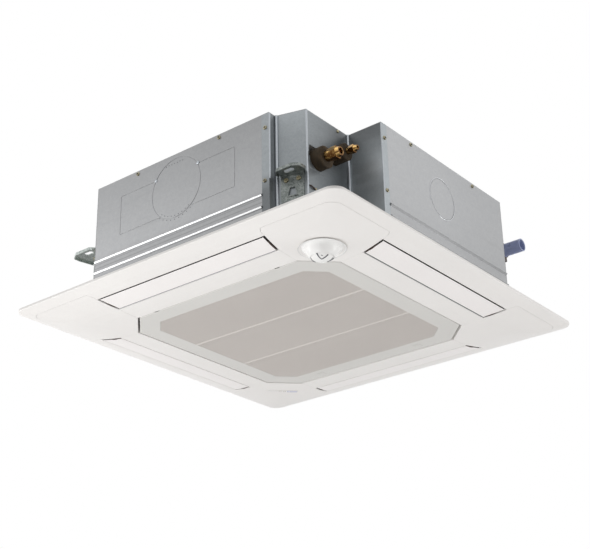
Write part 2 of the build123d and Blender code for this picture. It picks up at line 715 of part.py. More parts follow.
with BuildPart() as float_body:
    with BuildSketch(Plane.XY.offset(up(FLOAT_LOW))):
        with Locations((FLOAT_X, FLOAT_Y)):
            Circle(FLOAT_R)
            Circle(STEM_R + FIT, mode=Mode.SUBTRACT)
    extrude(amount=FLOAT_HEIGHT)
save(float_body.part, "drain_float")

# --- fan --------------------------------------------------------------------------------------

MOTOR_R = 68.0
MOTOR_LOW, MOTOR_TOP = 200.0, 256.0
SHAFT_R = 6.0
SHAFT_LOW = 152.0
SHAFT_IN = 30.0             # length of the shaft inside the motor
FAN_R = 232.0
FAN_PLATE = 190.0
EYE_R = 180.0               # the wheel's inlet
BELL_THROAT = 172.0
BLADES = 7

with BuildPart() as motor:
    with BuildSketch(Plane.XY.offset(up(MOTOR_LOW))):
        Circle(MOTOR_R)
    extrude(amount=MOTOR_TOP - MOTOR_LOW)
    fillet(motor.edges().filter_by(GeomType.CIRCLE), 8)
    with BuildSketch(Plane.XY.offset(up((MOTOR_LOW + MOTOR_TOP) / 2 + 8))):
        with PolarLocations(MOTOR_R + 12, 4, start_angle=45):
            Rectangle(36, 24)
        with PolarLocations(MOTOR_R + 20, 4, start_angle=45):
            Circle(5, mode=Mode.SUBTRACT)
    extrude(amount=3)
    with BuildSketch(Plane.XY.offset(up(MOTOR_LOW))):
        Circle(SHAFT_R + FIT)
    extrude(amount=SHAFT_IN + 1, mode=Mode.SUBTRACT)
save(motor.part, "fan_motor")

with BuildPart() as motor_shaft:
    with BuildSketch(Plane.XY.offset(up(SHAFT_LOW))):
        Circle(SHAFT_R)
    extrude(amount=MOTOR_LOW + SHAFT_IN - SHAFT_LOW)
save(motor_shaft.part, "motor_shaft")

MOUNT_H = (MOTOR_LOW + MOTOR_TOP) / 2 + 11
with BuildPart() as motor_mount_group:
    with BuildSketch(Plane.XY.offset(up(MOUNT_H))):
        with PolarLocations(MOTOR_R + 20, 4, start_angle=45):
            Circle(10)
    extrude(amount=CASING_TOP - SHEET - MOUNT_H)
    with BuildSketch(Plane.XY.offset(up(MOUNT_H - 12))):
        with PolarLocations(MOTOR_R + 20, 4, start_angle=45):
            Circle(4.9)
    extrude(amount=12)
save(group_of([motor_mount_group.part]), "motor_mounts")

SHROUD = [(EYE_R, 52), (EYE_R + 2, 72), (EYE_R + 14, 92), (FAN_R, 112)]
SHROUD_WALL = 2.2
BLADE_LOW = 80.0
BLADE_RUN = ((122.0, 0.0), (173.0, 15.0), (224.0, 48.0))  # radius, degrees swept back
BLADE_WALL = 3.0


def blade_line(k, side):
    """Three points of one face of blade k; side 0 is the front, 1 the back."""
    turns = [360 / BLADES * k - swept - side * degrees(BLADE_WALL / r) for r, swept in BLADE_RUN]
    return [(r * cos(radians(a)), r * sin(radians(a))) for (r, swept), a in zip(BLADE_RUN, turns)]


with BuildPart() as fan_wheel:
    for k in range(BLADES):
        with BuildSketch(Plane.XY.offset(up(BLADE_LOW))):
            with BuildLine():
                front = ThreePointArc(*blade_line(k, 0))
                back = ThreePointArc(*blade_line(k, 1))
                Line(front @ 0, back @ 0)
                Line(front @ 1, back @ 1)
            make_face()
        extrude(amount=FAN_PLATE - BLADE_LOW + 1)
    with BuildSketch(Plane.XZ):
        with BuildLine():
            Polyline(*[(r + 1, up(h - 1)) for r, h in SHROUD[1:]], (FAN_R + 12, up(111)),
                     (FAN_R + 12, up(60)), (EYE_R + 3, up(60)), close=True)
        make_face()
    revolve(axis=Axis.Z, mode=Mode.SUBTRACT)
    with BuildSketch(Plane.XZ):
        with BuildLine():
            shroud_line = Polyline(*[(r, up(h)) for r, h in SHROUD])
            offset(shroud_line, amount=SHROUD_WALL, side=Side.RIGHT, kind=Kind.INTERSECTION)
        make_face()
    revolve(axis=Axis.Z)
    with BuildSketch(Plane.XY.offset(up(FAN_PLATE))):
        Circle(FAN_R)
    extrude(amount=3)
    with BuildSketch(Plane.XY.offset(up(FAN_PLATE - 20))):
        Circle(20)
    extrude(amount=20)
    with BuildSketch(Plane.XY.offset(up(FAN_PLATE - 30))):
        Circle(SHAFT_R)
    extrude(amount=40, mode=Mode.SUBTRACT)
save(fan_wheel.part, "fan_wheel")

with BuildPart() as hub_nut:
    with BuildSketch(Plane.XY.offset(up(FAN_PLATE - 20))):
        RegularPolygon(11, 6)
        Circle(SHAFT_R, mode=Mode.SUBTRACT)
    extrude(amount=-10)
save(hub_nut.part, "hub_nut")

BELL = [(236, 3.6), (222, 6), (206, 14), (190, 26), (178, 42), (BELL_THROAT, 60)]
BELL_WALL = 2.0
with BuildPart() as bell_mouth:
    with BuildSketch(Plane.XZ):
        with BuildLine():
            bell_line = Polyline((PAN_BORE - 1, up(BELL[0][1])), *[(r, up(h)) for r, h in BELL])
            offset(bell_line, amount=BELL_WALL, side=Side.LEFT, kind=Kind.INTERSECTION)
        make_face()
    revolve(axis=Axis.Z)
save(bell_mouth.part, "bell_mouth")

# --- control box ------------------------------------------------------------------------------

BOX_WALL = 1.0
BOX_MID = (BOX_Y0 + BOX_Y1) / 2
BOX_DEPTH = BOX_Y1 - BOX_Y0
with BuildPart() as control_box:
    with BuildSketch(Plane.XY.offset(up(BOX_LOW + BOX_WALL))):
        with Locations((0, BOX_MID)):
            Rectangle(2 * BOX_HALF, BOX_DEPTH)
    extrude(amount=BOX_TOP - BOX_LOW - BOX_WALL)
    offset(amount=-BOX_WALL, openings=control_box.faces().sort_by(Axis.Z)[0])
save(control_box.part, "control_box")

with BuildPart() as control_lid:
    with BuildSketch(Plane.XY.offset(up(BOX_LOW))):
        with Locations((0, BOX_MID)):
            Rectangle(2 * BOX_HALF + 1, BOX_DEPTH)
        with GridLocations(2 * BOX_HALF - 16, 1, 2, 1):
            with Locations((0, BOX_MID)):
                Circle(2, mode=Mode.SUBTRACT)
    extrude(amount=BOX_WALL)
save(control_lid.part, "control_box_lid")

with BuildPart() as circuit_board:
    with BuildSketch(Plane.XY.offset(up(BOX_TOP - 12))):
        with Locations((0, BOX_MID)):
            Rectangle(2 * BOX_HALF - 8, BOX_DEPTH - 6)
    extrude(amount=1.6)
    with BuildSketch(Plane.XY.offset(up(BOX_TOP - 12))):
        with Locations((-110, BOX_MID), (-60, BOX_MID + 6), (20, BOX_MID - 4), (90, BOX_MID)):
            Rectangle(26, 18)
    extrude(amount=-12)
    with BuildSketch(Plane.XY.offset(up(BOX_TOP - 10.4))):
        with Locations((-130, BOX_MID), (130, BOX_MID)):
            Circle(3)
    extrude(amount=9.4)
save(circuit_board.part, "circuit_board")

# --- panel ------------------------------------------------------------------------------------

FACE_STEPS = (445.0, 433.0, 421.0, 405.0, 385.0, 362.0, 335.0, OPENING)
PANEL_TOP = 0.0
WALL = 3.0                  # walls round the air outlets and the grille opening
RECESS = COVER + 0.4
PAD = RECESS + 3.6          # frame under a corner cover


def panel_body(inset, lift):
    """The panel's outer form, drawn in by inset and raised by lift, closed across its middle."""
    edge = [(PANEL, PANEL_TOP), (PANEL, -4.6), (PANEL - 0.6, -5.8), (PANEL - 2, -6.5),
            (RIM + 1, face_h(RIM) + 0.25)]
    with BuildPart() as body:
        for r, h in edge + [(r, face_h(r)) for r in FACE_STEPS]:
            with BuildSketch(Plane.XY.offset(up(h + lift))):
                RectangleRounded(2 * (r - inset), 2 * (r - inset), PANEL_CORNER)
        loft(ruled=True)
    return body.part


def prism(points, low, high, grow=0.0):
    """An upright prism between two heights, its outline grown by grow."""
    with BuildPart() as column:
        with BuildSketch(Plane.XY.offset(up(low))):
            with BuildLine():
                Polyline(*points, close=True)
            make_face()
            if grow != 0:
                offset(amount=grow, kind=Kind.INTERSECTION)
        extrude(amount=high - low)
    return column.part


def quarter(piece, k):
    """The piece turned by k quarter turns about the middle of the unit."""
    return piece.rotate(Axis.Z, 90 * k)


SLOT_POINTS = [(SLOT_IN, -SLOT_END_IN), (SLOT_OUT, -SLOT_END_OUT), (SLOT_OUT, SLOT_END_OUT),
               (SLOT_IN, SLOT_END_IN)]
SEAM_POINTS = [(OPENING, OPENING - GRILLE_CUT), (SLOT_IN, SLOT_END_IN), (SLOT_OUT, SLOT_END_OUT),
               (SLOT_OUT + 14, SLOT_END_OUT + 2), (RIM + 6, SLOT_END_OUT + 14)]
COVER_POINTS = SEAM_POINTS + [(RIM + 6, RIM + 6)] + [(b, a) for a, b in reversed(SEAM_POINTS)]
DEEP, HIGH = -60.0, 20.0


def cover_prism(sx, sy, grow, low, high):
    """Prism over one corner cover, inside the rim's line."""
    points = [(sx * a, sy * b) for a, b in COVER_POINTS]
    bend = [(sx * a, sy * b) for a, b in (COVER_POINTS[3], COVER_POINTS[-4])]
    with BuildPart() as column:
        with BuildSketch(Plane.XY.offset(up(low))) as region:
            with BuildLine():
                Polyline(*points, close=True)
            make_face()
            fillet([v for v in region.vertices()
                    if any(abs(v.X - x) + abs(v.Y - y) < 0.1 for x, y in bend)], 16)
            if grow != 0:
                offset(amount=grow, kind=Kind.INTERSECTION)
            RectangleRounded(2 * (RIM + grow), 2 * (RIM + grow), PANEL_CORNER,
                             mode=Mode.INTERSECT)
        extrude(amount=high - low)
    return column.part


outer_form = panel_body(0, 0)
SENSOR = 312.0              # the sensor sits at (SENSOR, -SENSOR)
DOME_R = 29.0
DOME_HUB = 12.0
LEG_X = 180.0               # grille hinge
HINGE_Y, HINGE_H = -284.0, -26.0
HINGE_PIN = 1.6
LEG_R = 2.6
LEG_WIDE = 12.0
MOTOR_SPAN = (248.0, 262.0)
VANE_MOTOR_R = 9.0
VANE_MOTOR_H = -9.5


with BuildPart() as hollow:
    add(panel_body(4, PANEL_SKIN))
    for sx, sy in CORNERS:
        add(cover_prism(sx, sy, 6, DEEP, HIGH), mode=Mode.SUBTRACT)
    add(panel_body(4, PAD))
    add(prism(octagon(OPENING, GRILLE_CUT), DEEP, HIGH, WALL), mode=Mode.SUBTRACT)
    for k in range(4):
        add(quarter(prism(SLOT_POINTS, DEEP, HIGH, WALL), k), mode=Mode.SUBTRACT)


def slot_end(r):
    """Half length of an air outlet at a distance r from the middle."""
    along = (r - SLOT_IN) / (SLOT_OUT - SLOT_IN)
    return SLOT_END_IN + along * (SLOT_END_OUT - SLOT_END_IN)


def vane_motor_body(grow):
    """A vane motor beside the right-hand outlet."""
    with BuildPart() as body:
        with BuildSketch(Plane.XZ.offset(-MOTOR_SPAN[0] + grow)):
            with Locations((VANE_PIVOT, up(VANE_MOTOR_H))):
                Circle(VANE_MOTOR_R + grow)
        extrude(amount=-(MOTOR_SPAN[1] - MOTOR_SPAN[0] + 2 * grow))
    return body.part


LEG_PLATE = 3.0
with BuildPart() as hinge_leg:
    with BuildSketch(Plane.YZ.offset(LEG_X - LEG_WIDE / 2)):
        with Locations((HINGE_Y, up(HINGE_H))):
            Circle(LEG_R)
        with Locations((HINGE_Y, up(HINGE_H / 2))):
            Rectangle(2 * LEG_R, -HINGE_H)
        with Locations(((HINGE_Y + LEG_R - OPENING - 12) / 2, up(PANEL_TOP + LEG_PLATE / 2))):
            Rectangle(HINGE_Y + LEG_R + OPENING + 12, LEG_PLATE)
        with Locations((HINGE_Y, up(HINGE_H))):
            Circle(HINGE_PIN + FIT, mode=Mode.SUBTRACT)
    extrude(amount=LEG_WIDE)

FRAME_UNDER_COVER = FACE_LOW + RECESS
BOLT_SINK = 7.6
with BuildPart() as panel_frame:
    add(outer_form)
    add(hollow.part, mode=Mode.SUBTRACT)
    for sx, sy in CORNERS:
        with BuildSketch(Plane.XY.offset(up(FRAME_UNDER_COVER + 1))):
            with Locations((sx * BOLT_X, sy * BOLT_Y)):
                Circle(10)
        extrude(amount=PANEL_TOP - FRAME_UNDER_COVER - 1)
    add(prism(octagon(OPENING, GRILLE_CUT), DEEP, HIGH), mode=Mode.SUBTRACT)
    for k in range(4):
        add(quarter(prism(SLOT_POINTS, DEEP, HIGH), k), mode=Mode.SUBTRACT)
        add(quarter(vane_motor_body(0.3), k), mode=Mode.SUBTRACT)
    for sx, sy in CORNERS:
        add(cover_prism(sx, sy, 0, DEEP, HIGH) - panel_body(0, RECESS), mode=Mode.SUBTRACT)
    with BuildSketch(Plane.XY.offset(up(DEEP))):
        with Locations(*[(sx * BOLT_X, sy * BOLT_Y) for sx, sy in CORNERS]):
            Circle(BOLT_R + 0.1)
        with Locations((SENSOR, -SENSOR)):
            Circle(DOME_HUB + FIT)
    extrude(amount=HIGH - DEEP, mode=Mode.SUBTRACT)
    with BuildSketch(Plane.XY.offset(up(DEEP))):
        with Locations(*[(sx * BOLT_X, sy * BOLT_Y) for sx, sy in CORNERS]):
            Circle(7)
    extrude(amount=FRAME_UNDER_COVER + BOLT_SINK - DEEP, mode=Mode.SUBTRACT)
    for side in (-1, 1):
        add(hinge_leg.part.moved(Location((-LEG_X + side * LEG_X, 0, 0))))
save(panel_frame.part, "panel_frame")

# --- corner covers ----------------------------------------------------------------------------

DISH_R = 51.0
DISH_DEPTH = 3.6
HOLE_R = DOME_R + 0.6
WINDOW_PLACE = Plane((-315, 315, up(-45)), x_dir=(1, 1, 0), z_dir=(0, 0, 1))
WINDOW_LONG, WINDOW_WIDE = 84.0, 13.0
WINDOW_DEPTH = 1.5
window_h = face_h(322)
for (sx, sy), name in NAMES.items():
    with BuildPart() as cover:
        add(outer_form)
        add(cover_prism(sx, sy, -SEAM, DEEP, HIGH), mode=Mode.INTERSECT)
        add(panel_body(0, COVER), mode=Mode.SUBTRACT)
        if (sx, sy) == (1, -1):
            with BuildSketch(Plane((SENSOR, -SENSOR, 0), x_dir=(1, 0, 0), z_dir=(0, -1, 0))):
                with BuildLine():
                    Polyline((0, up(DEEP)), (DISH_R, up(DEEP)), (DISH_R, up(FACE_LOW)),
                             (HOLE_R, up(FACE_LOW + DISH_DEPTH)), (HOLE_R, up(HIGH)),
                             (0, up(HIGH)), close=True)
                make_face()
            revolve(axis=Axis((SENSOR, -SENSOR, 0), (0, 0, 1)), mode=Mode.SUBTRACT)
        if (sx, sy) == (-1, 1):
            with BuildSketch(WINDOW_PLACE):
                SlotOverall(WINDOW_LONG, WINDOW_WIDE)
            extrude(amount=window_h + 45 + WINDOW_DEPTH, mode=Mode.SUBTRACT)
    save(cover.part, f"corner_cover_{name}")

with BuildPart() as receiver_window:
    with BuildSketch(WINDOW_PLACE.offset(window_h + 45 - 0.4)):
        SlotOverall(WINDOW_LONG - 0.6, WINDOW_WIDE - 0.6)
    extrude(amount=WINDOW_DEPTH + 0.4)
    with BuildSketch(WINDOW_PLACE.offset(window_h + 45 - 0.4)):
        with GridLocations(12, 0, 4, 1):
            Circle(2.2)
    extrude(amount=-0.6, taper=20)
save(receiver_window.part, "receiver_window")

# --- panel fittings ---------------------------------------------------------------------------

with BuildPart() as panel_seal:
    add(outline_sketch(PANEL_TOP, 0))
    extrude(amount=CASING_BOTTOM - PANEL_TOP)
    add(outline_sketch(PANEL_TOP, 12))
    extrude(amount=CASING_BOTTOM - PANEL_TOP, mode=Mode.SUBTRACT)
save(panel_seal.part, "panel_seal")

BOLT_HEAD = 4.0
bolt_seat = FRAME_UNDER_COVER + BOLT_SINK
with BuildPart() as panel_bolts:
    with BuildSketch(Plane.XY.offset(up(bolt_seat - BOLT_HEAD))):
        with Locations(*[(sx * BOLT_X, sy * BOLT_Y) for sx, sy in CORNERS]):
            RegularPolygon(6, 6)
    extrude(amount=BOLT_HEAD)
    with BuildSketch(Plane.XY.offset(up(bolt_seat))):
        with Locations(*[(sx * BOLT_X, sy * BOLT_Y) for sx, sy in CORNERS]):
            Circle(BOLT_R)
    extrude(amount=14 - bolt_seat)
save(group_of([panel_bolts.part]), "panel_bolts")

FOAM_LOW = -19.0
with BuildPart() as foam_bar:
    with BuildSketch(Plane.XY.offset(up(FOAM_LOW))):
        with Locations(((OPENING + SLOT_IN) / 2, 0)):
            Rectangle(SLOT_IN - OPENING - 2 * WALL - 1, 430)
    extrude(amount=PANEL_TOP - FOAM_LOW)
save(group_of([quarter(foam_bar.part, k) for k in range(4)]), "panel_foam")

save(group_of([quarter(vane_motor_body(0), k) for k in range(4)]), "vane_motors")

# --- vanes ------------------------------------------------------------------------------------

VANE_IN, VANE_OUT = SLOT_IN + 2.5, SLOT_OUT - 4.0
VANE_END_GAP = 6.0
VANE_WALL = 3.0
EAR = 3.2
EAR_OUT = 236.4
BUSH_IN = 236.9
BUSH_R = 3.6
PIN_END = 240.4


def vane_curve(lift):
    return [(r, up(face_h(r) + lift)) for r in (VANE_IN, (VANE_IN + VANE_OUT) / 2, VANE_OUT)]


def across(y):
    """Plane across the right-hand outlet at y, looking along it."""
    return Plane((0, y, 0), x_dir=(1, 0, 0), z_dir=(0, -1, 0))


with BuildPart() as vane:
    with BuildSketch(across(0)):
        with BuildLine():
            low = ThreePointArc(*vane_curve(0))
            high = ThreePointArc(*vane_curve(VANE_WALL))
            Line(low @ 0, high @ 0)
            Line(low @ 1, high @ 1)
        make_face()
        fillet([v for v in vertices() if v.X > VANE_OUT - 1 or v.X < VANE_IN + 1], 1.0)
    extrude(amount=260, both=True)
    ends = [(r, side * (slot_end(r) - VANE_END_GAP))
            for r, side in ((VANE_IN - 5, -1), (SLOT_OUT, -1), (SLOT_OUT, 1), (VANE_IN - 5, 1))]
    with BuildSketch(Plane.XY.offset(up(DEEP))):
        with BuildLine():
            Polyline(*ends, close=True)
        make_face()
    extrude(amount=HIGH - DEEP, mode=Mode.INTERSECT)
    for side in (-1, 1):
        with BuildSketch(across(side * EAR_OUT)):
            with Locations((VANE_PIVOT, up(VANE_PIVOT_H))):
                Circle(4.2)
            with Locations((VANE_PIVOT, up(VANE_PIVOT_H - 3))):
                Rectangle(8.4, 6)
        extrude(amount=side * EAR)
        with BuildSketch(across(side * EAR_OUT)):
            with Locations((VANE_PIVOT, up(VANE_PIVOT_H))):
                Circle(VANE_PIN)
        extrude(amount=-side * (PIN_END - EAR_OUT))

with BuildPart() as bush_pair:
    for side in (-1, 1):
        with BuildSketch(across(side * BUSH_IN)):
            with Locations((VANE_PIVOT, up(VANE_PIVOT_H))):
                Circle(BUSH_R)
                Circle(VANE_PIN + FIT, mode=Mode.SUBTRACT)
        extrude(amount=-side * 8)
    add(prism(SLOT_POINTS, DEEP, HIGH), mode=Mode.INTERSECT)

for k, name in enumerate(("right", "rear", "left", "front")):
    save(quarter(vane.part, k), f"vane_{name}")
save(group_of([quarter(bush_pair.part, k) for k in range(4)]), "vane_bushes")

# --- sensor -----------------------------------------------------------------------------------

DOME_DROP = 28.5
DOME_BULGE = (27.4, 12.0)   # a point on the side of the dome: radius, drop
DOME_TOP = FACE_LOW + COVER
CAP_R, CAP_DROP = 20.5, 6.5  # the dome ends in a spherical cap
CAP_SPHERE = (CAP_R ** 2 + CAP_DROP ** 2) / (2 * CAP_DROP)
cap_half = asin(CAP_R / CAP_SPHERE) / 2
HUB_GAP = 0.9
frame_pad_top = FACE_LOW + PAD
with BuildPart() as sensor_dome:
    with BuildSketch(Plane((SENSOR, -SENSOR, 0), x_dir=(1, 0, 0), z_dir=(0, -1, 0))):
        with BuildLine():
            Line((0, up(DOME_TOP)), (DOME_R - 1, up(DOME_TOP)))
            Line((DOME_R - 1, up(DOME_TOP)), (DOME_R, up(DOME_TOP - 1)))
            Line((DOME_R, up(DOME_TOP - 1)), (DOME_R, up(FACE_LOW - 1)))
            ThreePointArc((DOME_R, up(FACE_LOW - 1)),
                          (DOME_BULGE[0], up(FACE_LOW - DOME_BULGE[1])),
                          (CAP_R, up(FACE_LOW - DOME_DROP + CAP_DROP)))
            ThreePointArc((CAP_R, up(FACE_LOW - DOME_DROP + CAP_DROP)),
                          (CAP_SPHERE * sin(cap_half), up(FACE_LOW - DOME_DROP
                                                          + CAP_SPHERE * (1 - cos(cap_half)))),
                          (0, up(FACE_LOW - DOME_DROP)))
            Line((0, up(FACE_LOW - DOME_DROP)), (0, up(DOME_TOP)))
        make_face()
    revolve(axis=Axis((SENSOR, -SENSOR, 0), (0, 0, 1)))
    with BuildSketch(Plane.XY.offset(up(DOME_TOP))):
        with Locations((SENSOR, -SENSOR)):
            Circle(DOME_HUB)
    extrude(amount=frame_pad_top + HUB_GAP + 1 - DOME_TOP)
    with BuildSketch(Plane.XY.offset(up(frame_pad_top + HUB_GAP))):
        with Locations((SENSOR, -SENSOR)):
            Circle(DOME_HUB + 4)
    extrude(amount=2)
save(sensor_dome.part, "sensor_dome")

# --- grille -----------------------------------------------------------------------------------

RING = 5.0
RING_EDGE = 2.0             # chamfer along the frame's lower edge
SKIRT_TOP = -18.0
EAR_LOW = FACE_LOW + RING
LATCH_X = 150.0
LATCH_Y = 281.0             # middle of a latch's finger tab when it is shut
LATCH_TAB, LATCH_TAB_WIDE = 6.0, 15.0
LATCH_PLATE_H = EAR_LOW + 0.3
LATCH_TRAVEL = 8.0
LATCH_CLEAR = 1.0
NOTCH = 26.0                # width of the skirt's gaps at the hinges and latches
POCKET_LOW = HINGE_H - LEG_R - 0.4
POCKET_END = HINGE_Y + LEG_R + 0.6
with BuildPart() as grille_frame:
    add(prism(octagon(GRILLE, GRILLE_CUT), FACE_LOW, SKIRT_TOP))
    chamfer(grille_frame.edges().filter_by_position(Axis.Z, up(FACE_LOW) - 1, up(FACE_LOW) + 0.1),
            RING_EDGE)
    add(prism(octagon(GRILLE - WALL, GRILLE_CUT - 1.8), EAR_LOW, HIGH), mode=Mode.SUBTRACT)
    add(prism(octagon(MESH, MESH_CUT), DEEP, HIGH), mode=Mode.SUBTRACT)
    with BuildSketch(Plane.XY.offset(up(EAR_LOW))):
        with GridLocations(2 * LEG_X, 1, 2, 1):
            with Locations((0, -GRILLE + WALL / 2)):
                Rectangle(NOTCH, WALL + 2)
        with GridLocations(2 * LATCH_X, 1, 2, 1):
            with Locations((0, GRILLE - WALL / 2)):
                Rectangle(NOTCH, WALL + 2)
    extrude(amount=30, mode=Mode.SUBTRACT)
    with BuildSketch(Plane.XY.offset(up(DEEP))):
        with GridLocations(2 * LATCH_X, 1, 2, 1):
            with Locations((0, LATCH_Y - LATCH_TRAVEL / 2)):
                Rectangle(LATCH_TAB_WIDE + 2 * LATCH_CLEAR,
                          LATCH_TAB + LATCH_TRAVEL + 2 * LATCH_CLEAR)
    extrude(amount=HIGH - DEEP, mode=Mode.SUBTRACT)
    with BuildSketch(Plane.XY.offset(up(POCKET_LOW))):
        with GridLocations(2 * LEG_X, 1, 2, 1):
            with Locations((0, POCKET_END)):
                Rectangle(LEG_WIDE + 2, 40, align=(Align.CENTER, Align.MAX))
    extrude(amount=HIGH - POCKET_LOW, mode=Mode.SUBTRACT)
    with BuildSketch(Plane.YZ.offset(-LEG_X - LEG_WIDE / 2 - 2)):
        with Locations((HINGE_Y, up(HINGE_H))):
            Circle(HINGE_PIN)
    extrude(amount=LEG_WIDE + 4)
    with BuildSketch(Plane.YZ.offset(LEG_X - LEG_WIDE / 2 - 2)):
        with Locations((HINGE_Y, up(HINGE_H))):
            Circle(HINGE_PIN)
    extrude(amount=LEG_WIDE + 4)
save(grille_frame.part, "grille_frame")

MESH_ROWS, MESH_COLUMNS = 60, 5
MESH_BORDER = 7.0
MESH_PITCH = 2 * (MESH - MESH_BORDER) / MESH_ROWS
COLUMN_PITCH = 2 * (MESH - MESH_BORDER) / MESH_COLUMNS
SLAT = 2.6
COLUMN = 3.0
RIB = 6.0
RIB_AT = 88.0
MESH_DEPTH = 7.0
MESH_LOW = FACE_LOW + 0.6
with BuildSketch(Plane.XY.offset(up(MESH_LOW))) as mesh_holes:
    with GridLocations(COLUMN_PITCH, MESH_PITCH, MESH_COLUMNS, MESH_ROWS):
        Rectangle(COLUMN_PITCH - COLUMN, MESH_PITCH - SLAT)
    with Locations((0, RIB_AT), (0, -RIB_AT)):
        Rectangle(2 * MESH, RIB, mode=Mode.SUBTRACT)
    with BuildLine():
        Polyline(*octagon(MESH - MESH_BORDER, MESH_CUT), close=True)
    make_face(mode=Mode.INTERSECT)
with BuildPart() as intake_mesh:
    with BuildSketch(Plane.XY.offset(up(MESH_LOW))):
        with BuildLine():
            Polyline(*octagon(MESH - 0.2, MESH_CUT), close=True)
        make_face()
        add(mesh_holes.sketch, mode=Mode.SUBTRACT)
    extrude(amount=MESH_DEPTH)
save(intake_mesh.part, "intake_grille")

FILTER_LOW, FILTER_DEPTH = MESH_LOW + MESH_DEPTH + 0.6, 3.0
FILTER = 240.0
FILTER_ROWS = 12
with BuildPart() as air_filter:
    with BuildSketch(Plane.XY.offset(up(FILTER_LOW))):
        with BuildLine():
            Polyline(*octagon(FILTER, MESH_CUT), close=True)
        make_face()
        with GridLocations(2 * (FILTER - 26) / FILTER_ROWS, 2 * (FILTER - 26) / FILTER_ROWS,
                           FILTER_ROWS, FILTER_ROWS):
            Rectangle(2 * (FILTER - 26) / FILTER_ROWS - 2, 2 * (FILTER - 26) / FILTER_ROWS - 2,
                      mode=Mode.SUBTRACT)
    extrude(amount=FILTER_DEPTH)
    with BuildSketch(Plane.XY.offset(up(MESH_LOW + MESH_DEPTH))):
        with PolarLocations(FILTER - 8, 4):
            Rectangle(8, 40)
    extrude(amount=FILTER_LOW - MESH_LOW - MESH_DEPTH)
save(air_filter.part, "air_filter")

for side, name in ((-1, "left"), (1, "right")):
    with BuildPart() as latch:
        with BuildSketch(Plane.XY.offset(up(LATCH_PLATE_H))):
            with Locations((side * LATCH_X, 283)):
                Rectangle(24, 37)
        extrude(amount=3)
        with BuildSketch(Plane.XY.offset(up(LATCH_PLATE_H))):
            with Locations((side * LATCH_X, LATCH_Y)):
                Rectangle(LATCH_TAB_WIDE, LATCH_TAB)
        extrude(amount=-(LATCH_PLATE_H - FACE_LOW))
    save(latch.part, f"grille_latch_{name}")
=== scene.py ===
import json
import math

import bmesh
import bpy
from mathutils import Matrix, Vector


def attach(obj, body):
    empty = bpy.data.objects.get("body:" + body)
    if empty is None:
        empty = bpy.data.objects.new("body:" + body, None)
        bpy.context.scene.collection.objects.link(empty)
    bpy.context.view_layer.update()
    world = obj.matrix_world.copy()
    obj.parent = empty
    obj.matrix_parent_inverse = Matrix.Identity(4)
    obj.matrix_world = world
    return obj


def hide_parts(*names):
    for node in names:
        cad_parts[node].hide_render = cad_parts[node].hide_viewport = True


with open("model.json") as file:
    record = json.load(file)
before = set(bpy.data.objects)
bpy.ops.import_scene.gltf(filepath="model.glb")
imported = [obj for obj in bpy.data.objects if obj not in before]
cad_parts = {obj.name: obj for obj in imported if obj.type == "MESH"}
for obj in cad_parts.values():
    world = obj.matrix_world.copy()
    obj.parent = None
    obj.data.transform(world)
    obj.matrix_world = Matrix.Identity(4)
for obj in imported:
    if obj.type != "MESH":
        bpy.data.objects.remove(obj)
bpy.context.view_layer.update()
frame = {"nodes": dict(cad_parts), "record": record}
nodes = frame["nodes"]

# Lengths are in metres. Heights are written above the ceiling plane, which lies this far below
# the origin.
TAB_HEIGHT = 0.122
SENSOR = 0.312                  # the sensor's place along +X and -Y
FACE_H = -0.030                 # height of the panel's face at the grille
OPENING, FACE_RADIUS = 0.303, 0.640     # from the grille's opening out, the face curves up
FRONT = -0.420                  # Y of the casing's front wall; X of the right one is -FRONT
# folds of the stepped piping corner: the facets that face right lie at STEP_X and PIPE_X, and
# those that face forward at HANGER_Y and STEP_Y
STEP_X, PIPE_X = 0.262, 0.330
HANGER_Y, PIPE_Y, STEP_Y = -0.398, -0.378, -0.232


def up(h):
    return h - TAB_HEIGHT


def linear(r, g, b):
    """A linear colour from the 0-255 values that it shows as."""
    def one(v):
        v /= 255
        return v / 12.92 if v <= 0.04045 else ((v + 0.055) / 1.055) ** 2.4
    return (one(r), one(g), one(b), 1.0)


def scaled(colour, level):
    """A colour made darker or lighter, up to white."""
    return tuple(min(1.0, v * level) for v in colour[:3]) + (1.0,)


# --- node helpers -----------------------------------------------------------------------------

